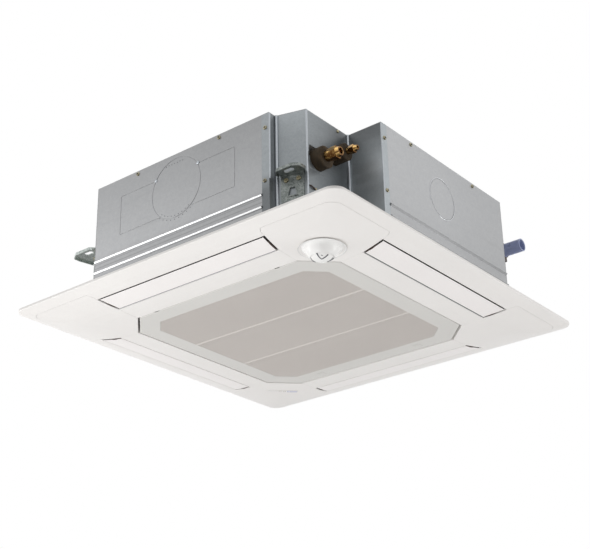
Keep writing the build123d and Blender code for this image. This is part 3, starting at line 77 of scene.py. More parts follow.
class Shader:
    """A material under construction: short calls that add nodes and link them."""

    def __init__(self, name, roughness, metallic=0.0, **sockets):
        self.material = bpy.data.materials.new(name)
        self.material.use_nodes = True
        self.tree = self.material.node_tree
        self.surface = self.tree.nodes["Principled BSDF"]
        self.surface.inputs["Roughness"].default_value = roughness
        self.surface.inputs["Metallic"].default_value = metallic
        for socket, value in sockets.items():
            self.surface.inputs[socket.replace("_", " ")].default_value = value
        coordinates = self.add("ShaderNodeTexCoord")
        self.place = coordinates.outputs["Object"]
        self.facing = coordinates.outputs["Normal"]

    def add(self, kind, **values):
        node = self.tree.nodes.new(kind)
        for key, value in values.items():
            setattr(node, key, value)
        return node

    def link(self, source, target):
        self.tree.links.new(source, target)

    def stretched(self, scale):
        """Object coordinates, scaled along each axis."""
        mapping = self.add("ShaderNodeMapping")
        mapping.inputs["Scale"].default_value = scale
        self.link(self.place, mapping.inputs["Vector"])
        return mapping.outputs["Vector"]

    def noise(self, scale, detail, rough=0.5, stretch=(1, 1, 1)):
        node = self.add("ShaderNodeTexNoise")
        node.inputs["Scale"].default_value = scale
        node.inputs["Detail"].default_value = detail
        node.inputs["Roughness"].default_value = rough
        self.link(self.stretched(stretch), node.inputs["Vector"])
        return node.outputs["Fac"]

    def cells(self, scale, output="Color", feature="F1"):
        node = self.add("ShaderNodeTexVoronoi", feature=feature)
        node.inputs["Scale"].default_value = scale
        self.link(self.place, node.inputs["Vector"])
        return node.outputs[output]

    def bands(self, scale, stretch):
        """Even stripes across the axes that the stretch leaves in."""
        wave = self.add("ShaderNodeTexWave", wave_type="BANDS", bands_direction="DIAGONAL")
        wave.inputs["Scale"].default_value = scale
        self.link(self.stretched(stretch), wave.inputs["Vector"])
        return wave.outputs["Fac"]

    def axis(self, source, name):
        parts = self.add("ShaderNodeSeparateXYZ")
        self.link(source, parts.inputs["Vector"])
        return parts.outputs[name]

    def spread(self, value, low, high):
        """A value brought from between low and high to between 0 and 1."""
        node = self.add("ShaderNodeMapRange")
        node.inputs["From Min"].default_value = low
        node.inputs["From Max"].default_value = high
        self.link(value, node.inputs["Value"])
        return node.outputs["Result"]

    def along(self, name, *stops):
        """Display levels, 1 for no change, at places along an object axis."""
        low, high = stops[0][0], stops[-1][0]
        place = self.spread(self.axis(self.place, name), low, high)
        return self.ramp(place, *[((at - low) / (high - low), level ** 2.2)
                                  for at, level in stops])

    def rising(self, *stops):
        """Display levels at heights above the ceiling plane."""
        return self.along("Z", *((up(h), level) for h, level in stops))

    def grey(self, colour):
        node = self.add("ShaderNodeRGBToBW")
        self.link(colour, node.inputs["Color"])
        return node.outputs["Val"]

    def ramp(self, factor, *stops):
        """Colours or plain levels at places from 0 to 1."""
        node = self.add("ShaderNodeValToRGB")
        elements = node.color_ramp.elements
        while len(elements) < len(stops):
            elements.new(0.5)
        for element, (at, colour) in zip(elements, stops):
            element.position = at
            element.color = colour if isinstance(colour, tuple) else (colour,) * 3 + (1.0,)
        self.link(factor, node.inputs["Fac"])
        return node.outputs["Color"]

    def mix(self, factor, first, second, mode="MIX"):
        node = self.add("ShaderNodeMix", data_type="RGBA", blend_type=mode)
        for socket, value in (("Factor", factor), ("A", first), ("B", second)):
            target = [s for s in node.inputs if s.name == socket and s.enabled][0]
            if isinstance(value, (int, float, tuple)):
                target.default_value = value
            else:
                self.link(value, target)
        return [s for s in node.outputs if s.enabled][0]

    def times(self, first, second):
        return self.mix(1.0, first, second, "MULTIPLY")

    def sum(self, first, second, weight=1.0):
        """First plus weight times second."""
        node = self.add("ShaderNodeMath", operation="MULTIPLY_ADD")
        self.link(second, node.inputs[0])
        node.inputs[1].default_value = weight
        if isinstance(first, float):
            node.inputs[2].default_value = first
        else:
            self.link(first, node.inputs[2])
        return node.outputs["Value"]

    def colour(self, source):
        self.link(source, self.surface.inputs["Base Color"])

    def rough(self, source):
        self.link(source, self.surface.inputs["Roughness"])

    def bump(self, height, strength, distance, bevel=0.0):
        """Surface relief from a height; bevel softens the edges that light catches."""
        node = self.add("ShaderNodeBump")
        node.inputs["Strength"].default_value = strength
        node.inputs["Distance"].default_value = distance
        self.link(height, node.inputs["Height"])
        if bevel > 0:
            edge = self.add("ShaderNodeBevel", samples=6)
            edge.inputs["Radius"].default_value = bevel
            self.link(edge.outputs["Normal"], node.inputs["Normal"])
        self.link(node.outputs["Normal"], self.surface.inputs["Normal"])


# --- materials --------------------------------------------------------------------------------

def casing_painted_light(m):
    """Painted light over the casing's sides: a painted sheen, duller towards the top of the
    front wall and along the right one, with two fine lines of painted shade between the front
    wall's beads. The upper half of each front bead has a painted highlight; the lower half and
    the other walls' beads are painted dull."""
    # painted sheen over the front wall by height and along it, with two lines of painted shade
    # between its beads
    front = m.times(
        m.rising((0.050, 0.99), (0.0585, 0.98), (0.0600, 0.80), (0.0615, 0.98), (0.0680, 0.98),
                 (0.0695, 0.82), (0.0710, 0.98), (0.095, 1.02), (0.130, 1.00), (0.165, 0.98),
                 (0.200, 0.955), (0.270, 0.915)),
        m.along("X", (-0.25, 1.03), (0.0, 0.99), (0.12, 0.965), (0.23, 0.95)))
    # painted sheen along the right wall
    right = m.times(
        m.rising((0.050, 0.96), (0.110, 0.985), (0.180, 1.0)),
        m.along("Y", (-0.20, 1.03), (0.0, 1.01), (0.10, 0.98), (0.22, 0.96)))
    # painted highlight on the upper half of each front bead, painted shade on its lower half and
    # on the other walls' beads
    front_bead_light = m.rising((0.0440, 0.72), (0.0468, 0.72), (0.0472, 1.43), (0.0500, 1.43),
                          (0.0720, 0.72), (0.0748, 0.72), (0.0752, 1.43), (0.0780, 1.43))
    other_bead_shade = (0.40, 0.40, 0.40, 1.0)
    in_front = m.spread(m.axis(m.facing, "Y"), -0.3, -0.6)
    on_bead = m.spread(m.axis(m.facing, "Z"), -0.3, -0.5)
    return m.mix(on_bead, m.mix(in_front, right, front), m.mix(in_front, other_bead_shade, front_bead_light))


def hanger_painted_light(m):
    """Painted light: dull at the near brackets, painted brighter at those on the far side."""
    return m.along("X", (-0.36, 1.45), (-0.26, 1.40), (0.10, 1.0), (0.30, 1.0))


def corner_painted_light(m):
    """The painted sheen and shade over the stepped piping corner: painted shade dulls the recess
    and darkens the first fold.
    """
    sideways = m.along("Y", (-0.420, 0.92), (-0.398, 0.90), (-0.378, 0.93), (-0.350, 0.90),
                       (-0.320, 0.87), (-0.290, 0.80), (-0.260, 0.70), (-0.237, 0.80),
                       (-0.2325, 1.12), (-0.21, 1.12))
    recess = m.rising((0.080, 1.15), (0.120, 1.14), (0.160, 1.32), (0.200, 0.98),
                      (0.240, 0.72), (0.270, 0.64))
    flange = m.rising((0.085, 0.74), (0.125, 1.0), (0.270, 1.02))
    facet = m.rising((0.090, 0.96), (0.200, 0.98), (0.240, 1.03), (0.270, 1.08))
    place = m.axis(m.place, "X")
    blend = 0.0005              # half the width over which one tone gives way to the next
    forward = m.mix(m.spread(place, STEP_X - blend, STEP_X + blend), flange, facet)
    forward = m.mix(m.spread(place, PIPE_X - blend, PIPE_X + blend), forward, recess)
    return m.mix(m.spread(m.axis(m.facing, "X"), 0.5, 0.8), forward, sideways)


def galvanised(name, light, dark, roughness=0.42, tone=None):
    """Zinc-coated sheet: spangle in two sizes, rolling streaks, faint smears."""
    m = Shader(name, roughness=roughness, metallic=0.75)
    spangle = m.grey(m.cells(160))
    fine = m.grey(m.cells(520))
    streaks = m.noise(9, detail=5, stretch=(0.3, 0.3, 7))
    flecks = m.sum(m.sum(0.0, spangle, 0.4), fine, 0.6)
    zinc = m.ramp(flecks, (0.15, dark), (0.85, light))
    smears = m.ramp(m.sum(streaks, m.noise(4, detail=5), 0.6), (0.5, 0.93), (1.1 / 1.6, 1.0))
    zinc = m.times(zinc, smears)
    # tone, where given, multiplies in painted light and shade
    m.colour(m.times(zinc, tone(m)) if tone else zinc)
    m.rough(m.ramp(streaks, (0.3, roughness - 0.05), (0.7, roughness + 0.06)))
    m.bump(m.sum(flecks, streaks, 0.3), strength=0.03, distance=0.0004, bevel=0.0008)
    return m.material


def moulded(name, colour, roughness=0.38, grain=0.08, shade=0.97, bevel=0.0008, **sockets):
    """Injection-moulded plastic: fine grain, a slight drift of tone and gloss."""
    m = Shader(name, roughness=roughness, **sockets)
    m.colour(m.ramp(m.noise(5, detail=3), (0.3, scaled(colour, shade)), (0.65, colour)))
    m.rough(m.ramp(m.noise(40, detail=4), (0.3, roughness - 0.04), (0.7, roughness + 0.05)))
    m.bump(m.sum(m.noise(1800, detail=2), m.noise(500, detail=2), 0.6), strength=grain,
           distance=0.0002, bevel=bevel)
    return m.material


def cast_foam(name, colour):
    """Expanded bead foam: packed round beads of 4 mm with painted shade in the creases between
    them.
    """
    m = Shader(name, roughness=0.85)
    creases = m.cells(1 / 0.004, "Distance", "DISTANCE_TO_EDGE")
    beads = m.ramp(creases, (0.0, scaled(colour, 0.62)), (0.12, colour))
    stain = m.ramp(m.noise(14, detail=5), (0.3, 0.9), (0.65, 1.0))
    m.colour(m.times(beads, stain))
    m.bump(creases, strength=0.5, distance=0.0006)
    return m.material


def rubber_foam(name, colour):
    """Closed-cell pipe insulation: skin with pits, dust and dark scuffs."""
    m = Shader(name, roughness=0.8)
    pits = m.noise(700, detail=4, rough=0.7)
    scuffs = m.noise(45, detail=6, rough=0.7)
    m.colour(m.ramp(m.sum(scuffs, pits, 0.35), (0.4, scaled(colour, 0.45)), (0.65, colour),
                    (0.92, scaled(colour, 1.9))))
    m.bump(m.sum(pits, scuffs, 0.8), strength=0.7, distance=0.0012, bevel=0.001)
    return m.material


def turning_lines(m):
    return m.noise(60, detail=2, stretch=(60, 1, 1))


def machined(name, colour, roughness):
    """Turned metal: fine turning lines, tarnish in patches, and painted shade where it faces
    down.
    """
    m = Shader(name, roughness=roughness, metallic=1.0)
    patches = m.noise(120, detail=6, rough=0.7)
    # painted shade: darker the more a face points down
    under = m.ramp(m.spread(m.axis(m.facing, "Z"), -0.9, 0.7), (0.0, 0.36), (0.5, 0.9),
                   (1.0, 1.0))
    m.colour(m.times(m.ramp(patches, (0.38, scaled(colour, 0.5)), (0.6, colour)), under))
    m.rough(m.ramp(patches, (0.3, roughness + 0.18), (0.7, roughness)))
    m.bump(m.sum(turning_lines(m), patches, 0.7), strength=0.12, distance=0.0004, bevel=0.0007)
    return m.material


def forged(name, bright, dark, roughness):
    """Flare-nut brass: facets with painted highlights beside facets in dark painted shade, set by
    which way each faces and broken up by noise.
    """
    m = Shader(name, roughness=roughness, metallic=1.0)
    # which way a facet faces, with noise, gives it a painted highlight or painted shade
    turn = m.sum(m.axis(m.facing, "Z"), m.axis(m.facing, "Y"), -0.6)
    level = m.spread(m.sum(turn, m.noise(90, detail=5, rough=0.7), 0.9), -0.9, 1.9)
    middle = tuple((u + v) / 2 for u, v in zip(bright, dark))
    m.colour(m.ramp(level, (0.10, dark), (0.30, middle), (0.38, bright), (0.46, dark),
                    (0.60, middle), (0.74, bright), (0.92, dark)))
    m.rough(m.ramp(m.noise(120, detail=4), (0.3, roughness + 0.15), (0.7, roughness)))
    m.bump(turning_lines(m), strength=0.12, distance=0.0004, bevel=0.0007)
    return m.material


def finned(name, colour):
    """Aluminium fin pack: thin upright fins with painted shade in the gaps between them."""
    m = Shader(name, roughness=0.4, metallic=0.7)
    gaps = m.bands(260, (1, 1, 0))
    m.colour(m.ramp(gaps, (0.25, scaled(colour, 0.25)), (0.6, colour)))
    m.bump(gaps, strength=0.8, distance=0.001)
    return m.material


def circuit(name, colour):
    """Circuit board: lacquered green with copper tracks and pads."""
    m = Shader(name, roughness=0.35)
    tracks = m.cells(220, "Distance", "DISTANCE_TO_EDGE")
    m.colour(m.ramp(tracks, (0.0, linear(150, 130, 70)), (0.06, linear(20, 70, 40)),
                    (0.5, colour)))
    m.bump(tracks, strength=0.3, distance=0.0004)
    return m.material


def woven(name, colour):
    """Filter netting: fine crossed threads, with painted shade in the gaps between them."""
    m = Shader(name, roughness=0.75)
    net = m.sum(m.bands(420, (1, 0, 0)), m.bands(420, (0, 1, 0)))
    m.colour(m.ramp(net, (0.6, scaled(colour, 0.4)), (1.2 / 2, colour)))
    m.bump(net, strength=0.5, distance=0.0004)
    return m.material


ZINC = linear(183, 184, 185), linear(174, 175, 177)
materials = {
    "galvanised_steel": galvanised("galvanised_sheet", *ZINC, tone=casing_painted_light),
    # the piping corner's zinc is a darker copy of the casing's: painted shade on its facets
    "corner_steel": galvanised("shaded_corner_sheet", linear(160, 165, 168), linear(150, 155, 158),
                               tone=corner_painted_light),
    # a lighter copy of the zinc: painted highlights on the hems and the knock-out's nubs
    "fold_highlight": galvanised("fold_highlight", linear(192, 197, 202), linear(182, 187, 192),
                              roughness=0.36),
    # dark grey, painted shade in screw recesses, the sensor's windows and beside the right vane;
    # the punch marks are drawn in it too
    "painted_shade": moulded("painted_shade", linear(92, 94, 98), roughness=0.4, bevel=0),
    # near-black for painted shade in the gaps along and at the ends of the vanes
    "gap_shade": moulded("painted_gap_shade", linear(38, 34, 31), roughness=0.7, bevel=0),
    "hanger_steel": galvanised("hanger_sheet", linear(158, 163, 160), linear(98, 104, 102),
                               roughness=0.36, tone=hanger_painted_light),
    "screw_zinc": machined("yellow_zinc", linear(204, 194, 160), roughness=0.3),
    "liner_foam": cast_foam("liner_foam", linear(226, 226, 222)),
    "aluminium_fins": finned("fin_pack", linear(205, 208, 212)),
    "coil_plate": galvanised("coil_plate", *ZINC, roughness=0.36),
    "copper": machined("copper_tube", linear(196, 128, 92), roughness=0.25),
    "brass": forged("brass_nut", linear(255, 212, 136), linear(92, 54, 24), roughness=0.18),
    "sleeve_foam": rubber_foam("pipe_sleeve", linear(56, 43, 24)),
    "drain_plastic": moulded("drain_pipe", linear(168, 178, 216), roughness=0.3,
                             Transmission_Weight=0.25, IOR=1.45),
    "clip_plastic": moulded("dark_plastic", linear(66, 48, 38), roughness=0.5, shade=0.7),
    "pan_foam": cast_foam("pan_foam", linear(236, 236, 232)),
    "pump_plastic": moulded("pump_plastic", linear(196, 196, 190)),
    "float_plastic": moulded("float_plastic", linear(216, 214, 206), roughness=0.5),
    "motor_paint": moulded("motor_paint", linear(70, 72, 75), roughness=0.45, shade=0.8),
    "fan_plastic": moulded("fan_plastic", linear(120, 122, 125), roughness=0.45, shade=0.9),
    "board": circuit("circuit_board", linear(38, 104, 62)),
    "panel_white": moulded("panel_plastic", linear(240, 237, 234)),
    "vane_white": moulded("vane_plastic", linear(246, 242, 240), roughness=0.34),
    "grille_ring": moulded("grille_ring", linear(216, 214, 210), roughness=0.45),
    "grille_grey": moulded("grille_slats", linear(214, 208, 203), roughness=0.55, bevel=0),
    "filter_net": woven("filter_net", linear(190, 188, 184)),
    "window_tint": moulded("window", linear(238, 235, 233), roughness=0.3, grain=0.02),
    # grey for painted shade along the front vane's inner edge
    "lip_shade": moulded("lip_shade", linear(176, 175, 178), roughness=0.6, grain=0.03),
    "pale_lip": moulded("pale_lip", linear(236, 233, 230), roughness=0.5, grain=0.03),
    # a near-white copy of the zinc: painted highlight round the right wall's knock-out
    "ring_highlight": galvanised("ring_highlight", linear(236, 238, 240), linear(224, 226, 230),
                              roughness=0.3),
    "receiver_lens": moulded("receiver_lens", linear(214, 213, 228), roughness=0.2, grain=0.02),
    "lamp_lens": moulded("lamp_lens", linear(222, 216, 212), roughness=0.25, grain=0.02),
    "sensor_white": moulded("sensor_plastic", linear(241, 240, 238), roughness=0.25, grain=0.03),
}

for entry in frame["record"]["subparts"]:
    mesh = nodes[entry["node"]].data
    mesh.materials.clear()
    mesh.materials.append(materials[entry["material_slot"]])


# --- pieces beside the CAD nodes --------------------------------------------------------------

def new_piece(name, bm, material, body, smooth=None):
    """A scene piece from a bmesh; smooth is the angle in degrees below which edges are soft."""
    mesh = bpy.data.meshes.new(name)
    bmesh.ops.recalc_face_normals(bm, faces=bm.faces)
    if smooth:
        for face in bm.faces:
            face.smooth = True
        for edge in bm.edges:
            edge.smooth = edge.calc_face_angle(0.0) < math.radians(smooth)
    bm.to_mesh(mesh)
    bm.free()
    piece = bpy.data.objects.new(name, mesh)
    bpy.context.scene.collection.objects.link(piece)
    mesh.materials.append(materials[material])
    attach(piece, body)
    return piece


def add_block(bm, low, high):
    """A closed box between two corners."""
    corners = [bm.verts.new((x, y, z)) for z in (low[2], high[2])
               for x, y in ((low[0], low[1]), (high[0], low[1]), (high[0], high[1]),
                            (low[0], high[1]))]
    for a, b, c, d in ((3, 2, 1, 0), (4, 5, 6, 7), (0, 1, 5, 4), (1, 2, 6, 5), (2, 3, 7, 6),
                       (3, 0, 4, 7)):
        bm.faces.new([corners[k] for k in (a, b, c, d)])


def add_loft(bm, rings):
    """A closed form through rings of as many vertices each, capped at both ends."""
    bm.faces.new(rings[0][::-1])
    bm.faces.new(rings[-1])
    count = len(rings[0])
    for first, second in zip(rings, rings[1:]):
        for i in range(count):
            n = (i + 1) % count
            bm.faces.new((first[i], first[n], second[n], second[i]))


def add_prism(bm, points, z0, z1):
    """A closed upright prism on a plan outline."""
    add_loft(bm, [[bm.verts.new((x, y, z)) for x, y in points] for z in (z0, z1)])


def add_skin(bm, outline, thick, place=Vector):
    """A closed skin: an outline of (x, y, z) points, given thickness along a direction."""
    add_loft(bm, [[bm.verts.new(place(Vector(p) + thick * k)) for p in outline] for k in (0, 1)])


def add_tube(bm, path, radius, sides=8):
    """A closed round bar along a path of points."""
    rings = []
    for k, point in enumerate(path):
        ahead = path[min(k + 1, len(path) - 1)] - path[max(k - 1, 0)]
        side = ahead.cross(Vector((0.31, 0.22, 0.93))).normalized()
        other = ahead.normalized().cross(side)
        rings.append([bm.verts.new(point + radius * (side * math.cos(2 * math.pi * i / sides)
                                                     + other * math.sin(2 * math.pi * i / sides)))
                      for i in range(sides)])
    add_loft(bm, rings)


# a screw head's dome, from its rim: share of the radius, and of the height
HEAD_PROFILE = ((1.0, 0.0), (0.95, 0.45), (0.7, 0.8), (0.3, 1.0))


def add_head(bm, centre, normal, radius, high):
    """A domed screw head on a surface."""
    side = normal.cross(Vector((0.2, 0.1, 0.97))).normalized()
    other = normal.cross(side)
    rings = []
    for part, rise in HEAD_PROFILE:
        rings.append([bm.verts.new(centre + normal * high * rise + radius * part * (
            side * math.cos(math.pi * i / 6) + other * math.sin(math.pi * i / 6)))
            for i in range(12)])
    add_loft(bm, rings)


MESH_HALF, MESH_CUT = 0.2527, 0.040
MESH_PITCH, MESH_BAR, MESH_THICK = 0.0033, 0.0012, 0.0014
MESH_LIFT, MESH_STEP = 0.0004, 0.0002      # gap to the face's plane, and between bars that cross
RIBS, RIB_HALF, RIB_HIGH = (-0.088, 0.088), 0.0030, 0.004


def grille_mesh():
    """Fine bars both ways and two wide ribs across them, cut to the opening's eight sides."""
    bm = bmesh.new()
    count = round(2 * MESH_HALF / MESH_PITCH)
    low = up(FACE_H) + MESH_LIFT
    half = MESH_BAR / 2
    for k in range(count + 1):
        at = MESH_HALF * (2 * k / count - 1)
        reach = min(MESH_HALF, 2 * MESH_HALF - MESH_CUT - abs(at))
        at = max(-MESH_HALF + half, min(MESH_HALF - half, at))
        add_block(bm, (-reach, at - half, low), (reach, at + half, low + MESH_THICK))
        add_block(bm, (at - half, -reach, low + MESH_STEP),
                  (at + half, reach, low + MESH_THICK + MESH_STEP))
    for rib in RIBS:
        add_block(bm, (-MESH_HALF, rib - RIB_HALF, low - MESH_STEP),
                  (MESH_HALF, rib + RIB_HALF, low + RIB_HIGH))
    piece = new_piece("fine_mesh", bm, "grille_grey", "grille")
    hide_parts("intake_grille")


LATCH_X, LATCH_Y = 0.150, 0.2775        # middle of a latch's finger window
LATCH_HALF_X, LATCH_HALF_Y = 0.0090, 0.0084
LATCH_LOW, LATCH_HIGH = 0.0006, 0.0001  # the cover's two faces, below the panel's face


def latch_covers():
    """Thin covers in the grille ring's tone over the finger windows of the two latches."""
    z = up(FACE_H)
    for side, name in ((-1, "left"), (1, "right")):
        bm = bmesh.new()
        x = side * LATCH_X
        add_block(bm, (x - LATCH_HALF_X, LATCH_Y - LATCH_HALF_Y, z - LATCH_LOW),
                  (x + LATCH_HALF_X, LATCH_Y + LATCH_HALF_Y, z - LATCH_HIGH))
        new_piece(f"latch_cover_{name}", bm, "grille_ring", f"latch_{name}")


SLOT_IN, SLOT_OUT, SLOT_END_IN, SLOT_END_OUT = 0.362, 0.421, 0.238, 0.248
VANE_IN, VANE_OUT, VANE_END_GAP = 0.3645, 0.417, 0.006
STRIP_THICK = 0.0006                           # thickness of the dark strips on a vane's edges, painted shade in its gaps
STRIP_LOW, STRIP_HIGH = 0.0004, 0.0030
END_INSET, END_STEPS = 0.001, 10
HORN_R0, HORN_R1 = 0.367, 0.401
HORN_ROOT, HORN_DROP, HORN_TOP = 0.0012, 0.0022, 0.0030
HORN_GAP, HORN_THICK, HORN_STEPS = 0.0001, 0.0024, 12
LIP_PROUD = 0.0003
# width and material of the lip along each vane's inner edge, then of the strip on its outer one;
# the dark and grey ones are painted shade in the gaps beside the vanes
VANE_LIPS = {"right": (0.0016, "painted_shade", STRIP_THICK, "gap_shade"),
             "rear": (0.0012, "pale_lip", 0.0028, "pale_lip"),
             "left": (0.0012, "pale_lip", 0.0028, "pale_lip"),
             "front": (0.0020, "lip_shade", STRIP_THICK, "gap_shade")}


def face_h(r):
    """Height of the panel's face at a distance r from the middle."""
    return FACE_H + (r - OPENING) ** 2 / (2 * FACE_RADIUS)


def vane_end(r):
    """Half length of a vane at a distance r from the middle."""
    along = (r - SLOT_IN) / (SLOT_OUT - SLOT_IN)
    return SLOT_END_IN + along * (SLOT_END_OUT - SLOT_END_IN) - VANE_END_GAP


def edge_strip(r, half, low, high):
    """Outline of a strip that stands along one edge of a vane."""
    return [(r, -half, low), (r, half, low), (r, half, high), (r, -half, high)]


def outer_strip(bm, place, width):
    low, high = up(face_h(VANE_OUT) + STRIP_LOW), up(face_h(VANE_OUT) + STRIP_HIGH)
    outline = edge_strip(VANE_OUT, vane_end(VANE_OUT) - END_INSET, low, high)
    add_skin(bm, outline, Vector((width, 0, 0)), place)


def end_strips(bm, place):
    steps = [VANE_IN + END_INSET + (VANE_OUT - VANE_IN - 2 * END_INSET) * k / END_STEPS
             for k in range(END_STEPS + 1)]
    for side in (-1, 1):
        outline = [(r, side * vane_end(r), up(face_h(r) + STRIP_LOW)) for r in steps]
        outline += [(r, side * vane_end(r), up(face_h(r) + STRIP_HIGH)) for r in steps[::-1]]
        add_skin(bm, outline, Vector((0, side * STRIP_THICK, 0)), place)


def horns(bm, place):
    for side in (-1, 1):
        outline = []
        for k in range(HORN_STEPS + 1):
            part = k / HORN_STEPS
            r = HORN_R0 + (HORN_R1 - HORN_R0) * part
            drop = HORN_DROP * math.sin(math.pi * part)
            outline.append((r, side * (vane_end(r) + STRIP_THICK + HORN_GAP),
                            up(face_h(r) + HORN_ROOT - drop)))
        outline += [(r, y, up(face_h(r) + HORN_TOP)) for r, y, _ in outline[::-1]]
        add_skin(bm, outline, Vector((0, side * HORN_THICK, 0)), place)


def inner_lip(bm, place, width):
    low, high = up(face_h(VANE_IN) - LIP_PROUD), up(face_h(VANE_IN) + STRIP_HIGH)
    outline = edge_strip(VANE_IN - STRIP_THICK, vane_end(VANE_IN) - 2 * END_INSET, low, high)
    add_skin(bm, outline, Vector((width, 0, 0)), place)


def vane_edge_strips():
    """Strips on each vane's edges and ends, with the swing arm's horn at each end. The dark and
    grey strips are painted shade in the gaps round the vanes; the horns' dark brown stands for
    the swing arms and also paints the shade in the end gaps.
    """
    for turn, name in enumerate(("right", "rear", "left", "front")):
        def place(p, turn=turn):
            for _ in range(turn):
                p = Vector((-p.y, p.x, p.z))
            return p

        lip_wide, lip_material, strip_wide, strip_material = VANE_LIPS[name]
        for piece, form, sizes, material in (
                ("outer_edge", outer_strip, (strip_wide,), strip_material),
                ("ends", end_strips, (), "gap_shade"), ("horn", horns, (), "clip_plastic"),
                ("lip", inner_lip, (lip_wide,), lip_material)):
            bm = bmesh.new()
            form(bm, place, *sizes)
            new_piece(f"vane_{piece}_{name}", bm, material, f"vane_{name}_body")


HEM_FOOT, HEM_TOP = 0.004, 0.2685
HEM_SIDES = 16
# middle, radius and foot of each hem
HEMS = (((STEP_X + 0.0002, FRONT + 0.0022), 0.0022, 0.110),
        ((STEP_X + 0.0032, HANGER_Y - 0.0005), 0.0036, HEM_FOOT),
        ((PIPE_X - 0.0004, PIPE_Y + 0.0012), 0.0024, HEM_FOOT),
        ((PIPE_X + 0.0022, STEP_Y - 0.0022), 0.0034, HEM_FOOT),
        ((0.4188, STEP_Y + 0.0012), 0.0015, HEM_FOOT))


def corner_folds():
    """Rounded hems that stand up the folds of the piping corner, in a lighter zinc that paints
    their highlights.
    """
    bm = bmesh.new()
    for (x, y), radius, foot in HEMS:
        turns = [math.radians(360 * k / HEM_SIDES) for k in range(HEM_SIDES)]
        add_prism(bm, [(x + radius * math.cos(a), y + radius * math.sin(a)) for a in turns],
                  up(foot), up(HEM_TOP))
    new_piece("corner_folds", bm, "fold_highlight", "casing", smooth=40)


RIGHTWARD, FORWARD = Vector((1, 0, 0)), Vector((0, -1, 0))
# place along the facet, height, and the head's radius and rise
FACET_SCREW = (-0.268, 0.2637, 0.0040, 0.0024)
CLAMP_SCREW = (-0.3515, 0.0875, 0.0028, 0.0020)
# the toe's middle line: distance out from the facet, Y and height
CLAMP_TOE = ((-0.001, -0.3735, 0.0885), (0.0025, -0.370, 0.0875), (0.003, -0.362, 0.0855),
             (0.0015, -0.355, 0.0845))
CLAMP_TOE_R = 0.0017


def facet_head(name, y, h, radius, rise):
    """A screw on the facet that the pipes come out of."""
    bm = bmesh.new()
    add_head(bm, Vector((PIPE_X, y, up(h))), RIGHTWARD, radius, rise)
    new_piece(name, bm, "screw_zinc", "casing", smooth=50)


def corner_fittings():
    """The screw high on the pipe facet, and the toe and screw of a clamp below the gas pipe."""
    facet_head("facet_screw", *FACET_SCREW)
    bm = bmesh.new()
    add_tube(bm, [Vector((PIPE_X + out, y, up(h))) for out, y, h in CLAMP_TOE], CLAMP_TOE_R)
    new_piece("clamp_toe", bm, "clip_plastic", "casing", smooth=50)
    facet_head("clamp_screw", *CLAMP_SCREW)


GAS_Y, GAS_H = -0.343, 0.1595   # middle of the gas pipe
LIP_INNER_R = 0.025 + 0.0002    # just clear of the sleeve
LIP_OUTER = 0.0275 + 0.001      # just past the square hole's edge
LIP_THICK, LIP_LIFT = 0.0006, 0.0001


def hole_lip():
    """Lip that closes the lower corners of the square hole under the gas pipe's sleeve."""
    bm = bmesh.new()
    for side in (-1, 1):
        edge = GAS_Y + side * LIP_OUTER
        outline = [(edge, GAS_H), (edge, GAS_H - LIP_OUTER), (GAS_Y, GAS_H - LIP_OUTER)]
        for k in range(11):
            a = math.radians(9 * k)
            outline.append((GAS_Y + side * LIP_INNER_R * math.sin(a),
                            GAS_H - LIP_INNER_R * math.cos(a)))
        add_skin(bm, [(PIPE_X + LIP_LIFT, y, up(h)) for y, h in outline],
                 RIGHTWARD * LIP_THICK)
    new_piece("hole_lip", bm, "corner_steel", "casing")


# places along the wall and heights of the casing's screws
FRONT_SCREWS = ((-0.131, 0.262), (0.120, 0.262), (0.252, 0.235), (0.250, 0.108))
RIGHT_SCREWS = ((-0.221, 0.234), (-0.221, 0.106), (-0.119, 0.262), (0.137, 0.262))
CROSS_LONG, CROSS_WIDE = 0.0027, 0.0011
CROSS_ROOT, CROSS_PROUD = 0.0019, 0.0026    # the cross's two faces, out from the wall


def screw_recesses():
    """Dark crosses in the heads of the casing's screws: painted shade in their cross recesses."""
    bm = bmesh.new()
    for long, wide in ((CROSS_LONG, CROSS_WIDE), (CROSS_WIDE, CROSS_LONG)):
        for x, h in FRONT_SCREWS:
            add_block(bm, (x - long, FRONT - CROSS_PROUD, up(h) - wide),
                      (x + long, FRONT - CROSS_ROOT, up(h) + wide))
        for y, h in RIGHT_SCREWS:
            add_block(bm, (-FRONT + CROSS_ROOT, y - long, up(h) - wide),
                      (-FRONT + CROSS_PROUD, y + long, up(h) + wide))
    new_piece("screw_recesses", bm, "painted_shade", "casing")


WINDOW_R = 0.322                # the receiver window's distance from the centre lines
LENS_CORNER, LENS_PROUD, LENS_THICK = 0.001, 0.0009, 0.0020
# place, half length, half width and material of each lens, inside the receiver window
RECEIVER = (((-0.2966, 0.3334), 0.0135, 0.0050, "receiver_lens"),
            ((-0.3193, 0.3107), 0.0040, 0.0040, "lamp_lens"),
            ((-0.3108, 0.3193), 0.0035, 0.0035, "lamp_lens"))


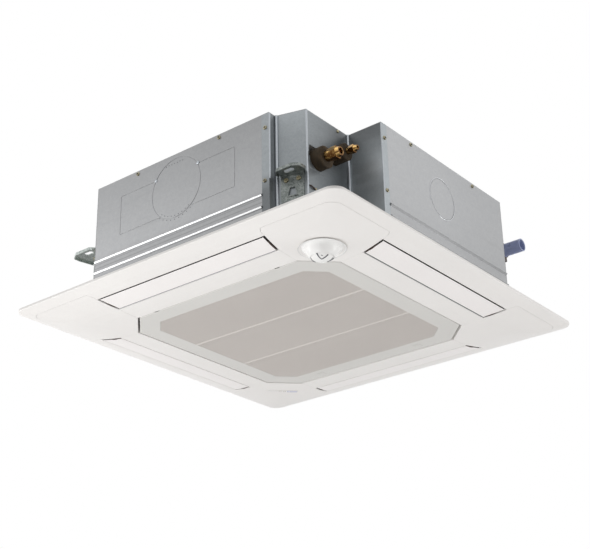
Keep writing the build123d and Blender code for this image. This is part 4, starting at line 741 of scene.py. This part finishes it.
def receiver_lenses():
    """The remote control's lens and two small lamps beside it, along the corner cover."""
    along = Vector((math.cos(math.radians(45)), math.sin(math.radians(45)), 0))
    across = Vector((-along.y, along.x, 0))
    z = up(face_h(WINDOW_R)) - LENS_PROUD
    for number, ((x, y), half_long, half_wide, material) in enumerate(RECEIVER):
        bm = bmesh.new()
        outline = []
        for u, v, start in ((1, 1, 0), (-1, 1, 90), (-1, -1, 180), (1, -1, 270)):
            for step in range(4):
                a = math.radians(start + 30 * step)
                outline.append(
                    Vector((x, y, z))
                    + along * ((half_long - LENS_CORNER) * u + LENS_CORNER * math.cos(a))
                    + across * ((half_wide - LENS_CORNER) * v + LENS_CORNER * math.sin(a)))
        add_skin(bm, outline, Vector((0, 0, LENS_THICK)))
        new_piece(f"receiver_lens_{number}", bm, material, "casing")


DUCT_RING_X, DUCT_RING_H, DUCT_RING_R = -0.0075, 0.184, 0.075
NUBS_X, NUBS_H = (-0.0713, 0.0574), 0.2225
DOTS, DOTS_X, DOTS_H, DOTS_PITCH, DOTS_STAGGER = 7, -0.040, 0.2465, 0.0085, 0.0008
RING_MARKS = range(232, 312, 9)             # directions of the marks round the duct's ring
RING_OFFSETS = (0.0035, -0.006)
NUB, DOT, MARK = (0.0042, 0.0022), (0.0013, 0.0004), (0.0012, 0.0004)   # radius and rise
PORT_RING_Y, PORT_RING_H, PORT_RING_R = -0.002, 0.172, 0.0505
PORT_ARCS = ((75, 205), (248, 372))
HIGHLIGHT_LIFT, HIGHLIGHT_R, HIGHLIGHT_STEPS = 0.0002, 0.0006, 24


def knock_out_marks():
    """Nubs left where the round knock-out crosses the square one, in the lighter zinc of painted
    highlights, dark punch marks round it, and a painted highlight along two arcs round the right
    wall's one."""
    bm = bmesh.new()
    for x in NUBS_X:
        add_head(bm, Vector((x, FRONT, up(NUBS_H))), FORWARD, *NUB)
    new_piece("knock_out_nubs", bm, "fold_highlight", "casing", smooth=50)
    bm = bmesh.new()
    for k in range(DOTS):
        dot = Vector((DOTS_X + k * DOTS_PITCH, FRONT, up(DOTS_H + DOTS_STAGGER * (k % 2))))
        add_head(bm, dot, FORWARD, *DOT)
    for angle in RING_MARKS:
        for offset in RING_OFFSETS:
            a, radius = math.radians(angle), DUCT_RING_R + offset
            mark = Vector((DUCT_RING_X + radius * math.cos(a), FRONT,
                           up(DUCT_RING_H + radius * math.sin(a))))
            add_head(bm, mark, FORWARD, *MARK)
    new_piece("punch_marks", bm, "painted_shade", "casing", smooth=50)
    bm = bmesh.new()
    for start, end in PORT_ARCS:
        arc = [math.radians(start + (end - start) * k / HIGHLIGHT_STEPS)
               for k in range(HIGHLIGHT_STEPS + 1)]
        add_tube(bm, [Vector((-FRONT + HIGHLIGHT_LIFT, PORT_RING_Y + PORT_RING_R * math.cos(a),
                              up(PORT_RING_H + PORT_RING_R * math.sin(a)))) for a in arc],
                 HIGHLIGHT_R, sides=6)
    new_piece("port_ring_highlight", bm, "ring_highlight", "casing", smooth=50)


# the turning dome's side, from its dish to its tip: radius and drop below the panel's face
DOME_PROFILE = ((0.0514, 0.0007), (0.0490, -0.0004), (0.0462, -0.0022), (0.0425, -0.0010),
                (0.0395, 0.0016), (0.0368, 0.0045), (0.0345, 0.0080), (0.0320, 0.0118),
                (0.0290, 0.0156), (0.0250, 0.0195), (0.0205, 0.0222), (0.0150, 0.0254),
                (0.0080, 0.0275), (0.0000, 0.0284))
# how many points of it the flare follows, the flare's wall, and its steps round the dome
FLARE_POINTS, FLARE_WALL, FLARE_STEPS = 10, 0.0005, 72
# lower edges of the three windows: direction in degrees from +X, and slide down the dome
WINDOW_EDGES = (((-186, 0.415), (-187, 0.49), (-186, 0.565), (-183, 0.68), (-180, 0.79)),
                ((-81, 0.70), (-79, 0.82), (-72, 0.885), (-62, 0.91), (-45, 0.89), (-29, 0.84),
                 (-19, 0.75)),
                ((33, 0.75), (42, 0.79), (51, 0.82), (67, 0.89)))
WINDOW_INNER_SHADE = ((-62, 0.79), (-49, 0.80))
EDGE_R, INNER_SHADE_R = 0.0013, 0.0008


def round_sensor(azimuth, r, drop):
    """A point at a radius from the sensor's axis and a drop below the panel's face."""
    return Vector((SENSOR + r * math.cos(azimuth), -SENSOR + r * math.sin(azimuth),
                   up(FACE_H - drop)))


def on_dome(degrees, slide):
    """A point on the sensor dome; slide runs from 0 at its rim to 1 at its tip."""
    place = slide * (len(DOME_PROFILE) - 1)
    k = min(int(place), len(DOME_PROFILE) - 2)
    part = place - k
    r, drop = (a + (b - a) * part for a, b in zip(DOME_PROFILE[k], DOME_PROFILE[k + 1]))
    return round_sensor(math.radians(degrees), r, drop)


def sensor_flare():
    """Smooth flare that carries the turning dome's side out into its dish."""
    bm = bmesh.new()
    outer = list(DOME_PROFILE[:FLARE_POINTS])
    profile = outer + [(r - FLARE_WALL, drop - FLARE_WALL) for r, drop in outer[::-1]]
    rings = []
    for k in range(FLARE_STEPS):
        azimuth = 2 * math.pi * k / FLARE_STEPS
        rings.append([bm.verts.new(round_sensor(azimuth, r, drop)) for r, drop in profile])
    for k, first in enumerate(rings):
        second = rings[(k + 1) % FLARE_STEPS]
        for i in range(len(profile)):
            n = (i + 1) % len(profile)
            bm.faces.new((first[i], second[i], second[n], first[n]))
    new_piece("sensor_flare", bm, "sensor_white", "sensor", smooth=60)


def sensor_windows():
    """Painted shade along the lower edges of the three windows on the turning dome, and a short
    line of it inside the middle one.
    """
    bm = bmesh.new()
    for line, radius in [(edge, EDGE_R) for edge in WINDOW_EDGES] + [(WINDOW_INNER_SHADE, INNER_SHADE_R)]:
        add_tube(bm, [on_dome(degrees, slide) for degrees, slide in line], radius)
    new_piece("sensor_windows", bm, "painted_shade", "sensor", smooth=60)


grille_mesh()
latch_covers()
vane_edge_strips()
corner_folds()
corner_fittings()
hole_lip()
screw_recesses()
receiver_lenses()
knock_out_marks()
sensor_flare()
sensor_windows()


# --- stage, light and camera ------------------------------------------------------------------

CAMERA_PLACE = Vector((1.749, -2.195, up(-1.167)))
AZIMUTH, ELEVATION, ROLL = 38.73, -24.52, -1.09
FOCAL_PIXELS, IMAGE_WIDTH, SENSOR_WIDTH = 1272, 590, 36.0
FLOOR_DROP, FLOOR_HALF = 2.45, 14
WORLD_LEVEL = 0.4
LAMP_AIM = Vector((0, 0, -0.05))
# name, place, size and power of each lamp
LAMPS = (("key_left", (-3.2, -2.4, -0.9), 2.2, 60),
         ("fill_right", (3.2, 2.2, -0.9), 2.2, 60),
         ("from_below", (-0.3, -0.8, -2.3), 3.0, 43))


def set_camera():
    az, el, roll = (math.radians(v) for v in (AZIMUTH, ELEVATION, ROLL))
    back = Vector((math.sin(az) * math.cos(el), -math.cos(az) * math.cos(el), math.sin(el)))
    right = Vector((math.cos(az), math.sin(az), 0))
    top = back.cross(right)
    turned_right = right * math.cos(roll) + top * math.sin(roll)
    turned_up = top * math.cos(roll) - right * math.sin(roll)
    camera = bpy.data.objects.new("camera", bpy.data.cameras.new("camera"))
    camera.matrix_world = Matrix.Translation(CAMERA_PLACE) @ Matrix(
        (turned_right, turned_up, back)).transposed().to_4x4()
    camera.data.sensor_width = SENSOR_WIDTH
    camera.data.lens = FOCAL_PIXELS * SENSOR_WIDTH / IMAGE_WIDTH
    bpy.context.scene.collection.objects.link(camera)
    bpy.context.scene.camera = camera


def set_lamps():
    for name, place, size, power in LAMPS:
        light = bpy.data.lights.new(name, "AREA")
        light.shape = "SQUARE"
        light.size = size
        light.energy = power
        lamp = bpy.data.objects.new(name, light)
        lamp.location = place
        lamp.rotation_euler = (LAMP_AIM - Vector(place)).to_track_quat("-Z", "Y").to_euler()
        lamp.visible_camera = False
        bpy.context.scene.collection.objects.link(lamp)


def floor_paint():
    """Pale paint that is clear from underneath, so that the unit can be seen from there."""
    m = Shader("floor_paint", roughness=0.85)
    m.colour(m.ramp(m.noise(2, detail=4), (0.3, linear(238, 238, 238)),
                    (0.7, linear(243, 243, 243))))
    either = m.add("ShaderNodeMixShader")
    m.link(m.add("ShaderNodeNewGeometry").outputs["Backfacing"], either.inputs["Fac"])
    m.link(m.surface.outputs["BSDF"], either.inputs[1])
    m.link(m.add("ShaderNodeBsdfTransparent").outputs["BSDF"], either.inputs[2])
    m.link(either.outputs["Shader"], m.tree.nodes["Material Output"].inputs["Surface"])
    return m.material


def set_floor():
    mesh = bpy.data.meshes.new("floor")
    mesh.from_pydata([(x * FLOOR_HALF, y * FLOOR_HALF, 0)
                      for x, y in ((-1, -1), (1, -1), (1, 1), (-1, 1))], [], [(0, 1, 2, 3)])
    floor = bpy.data.objects.new("floor", mesh)
    floor.location = (0, 0, -FLOOR_DROP)
    bpy.context.scene.collection.objects.link(floor)
    mesh.materials.append(floor_paint())


def set_world():
    """White to the camera and in reflections, a soft even light on everything else."""
    world = bpy.data.worlds.new("studio")
    world.use_nodes = True
    bpy.context.scene.world = world
    tree = world.node_tree
    background = tree.nodes["Background"]
    background.inputs["Color"].default_value = (1, 1, 1, 1)
    path = tree.nodes.new("ShaderNodeLightPath")
    seen = path.outputs["Is Camera Ray"]
    for ray in ("Is Glossy Ray", "Is Transmission Ray"):
        either = tree.nodes.new("ShaderNodeMath")
        either.operation = "MAXIMUM"
        tree.links.new(seen, either.inputs[0])
        tree.links.new(path.outputs[ray], either.inputs[1])
        seen = either.outputs["Value"]
    level = tree.nodes.new("ShaderNodeMapRange")
    level.inputs["To Min"].default_value = WORLD_LEVEL
    level.inputs["To Max"].default_value = 1.0
    tree.links.new(seen, level.inputs["Value"])
    tree.links.new(level.outputs["Result"], background.inputs["Strength"])


set_camera()
set_floor()
set_world()
set_lamps()
bpy.context.scene.view_settings.view_transform = "Standard"
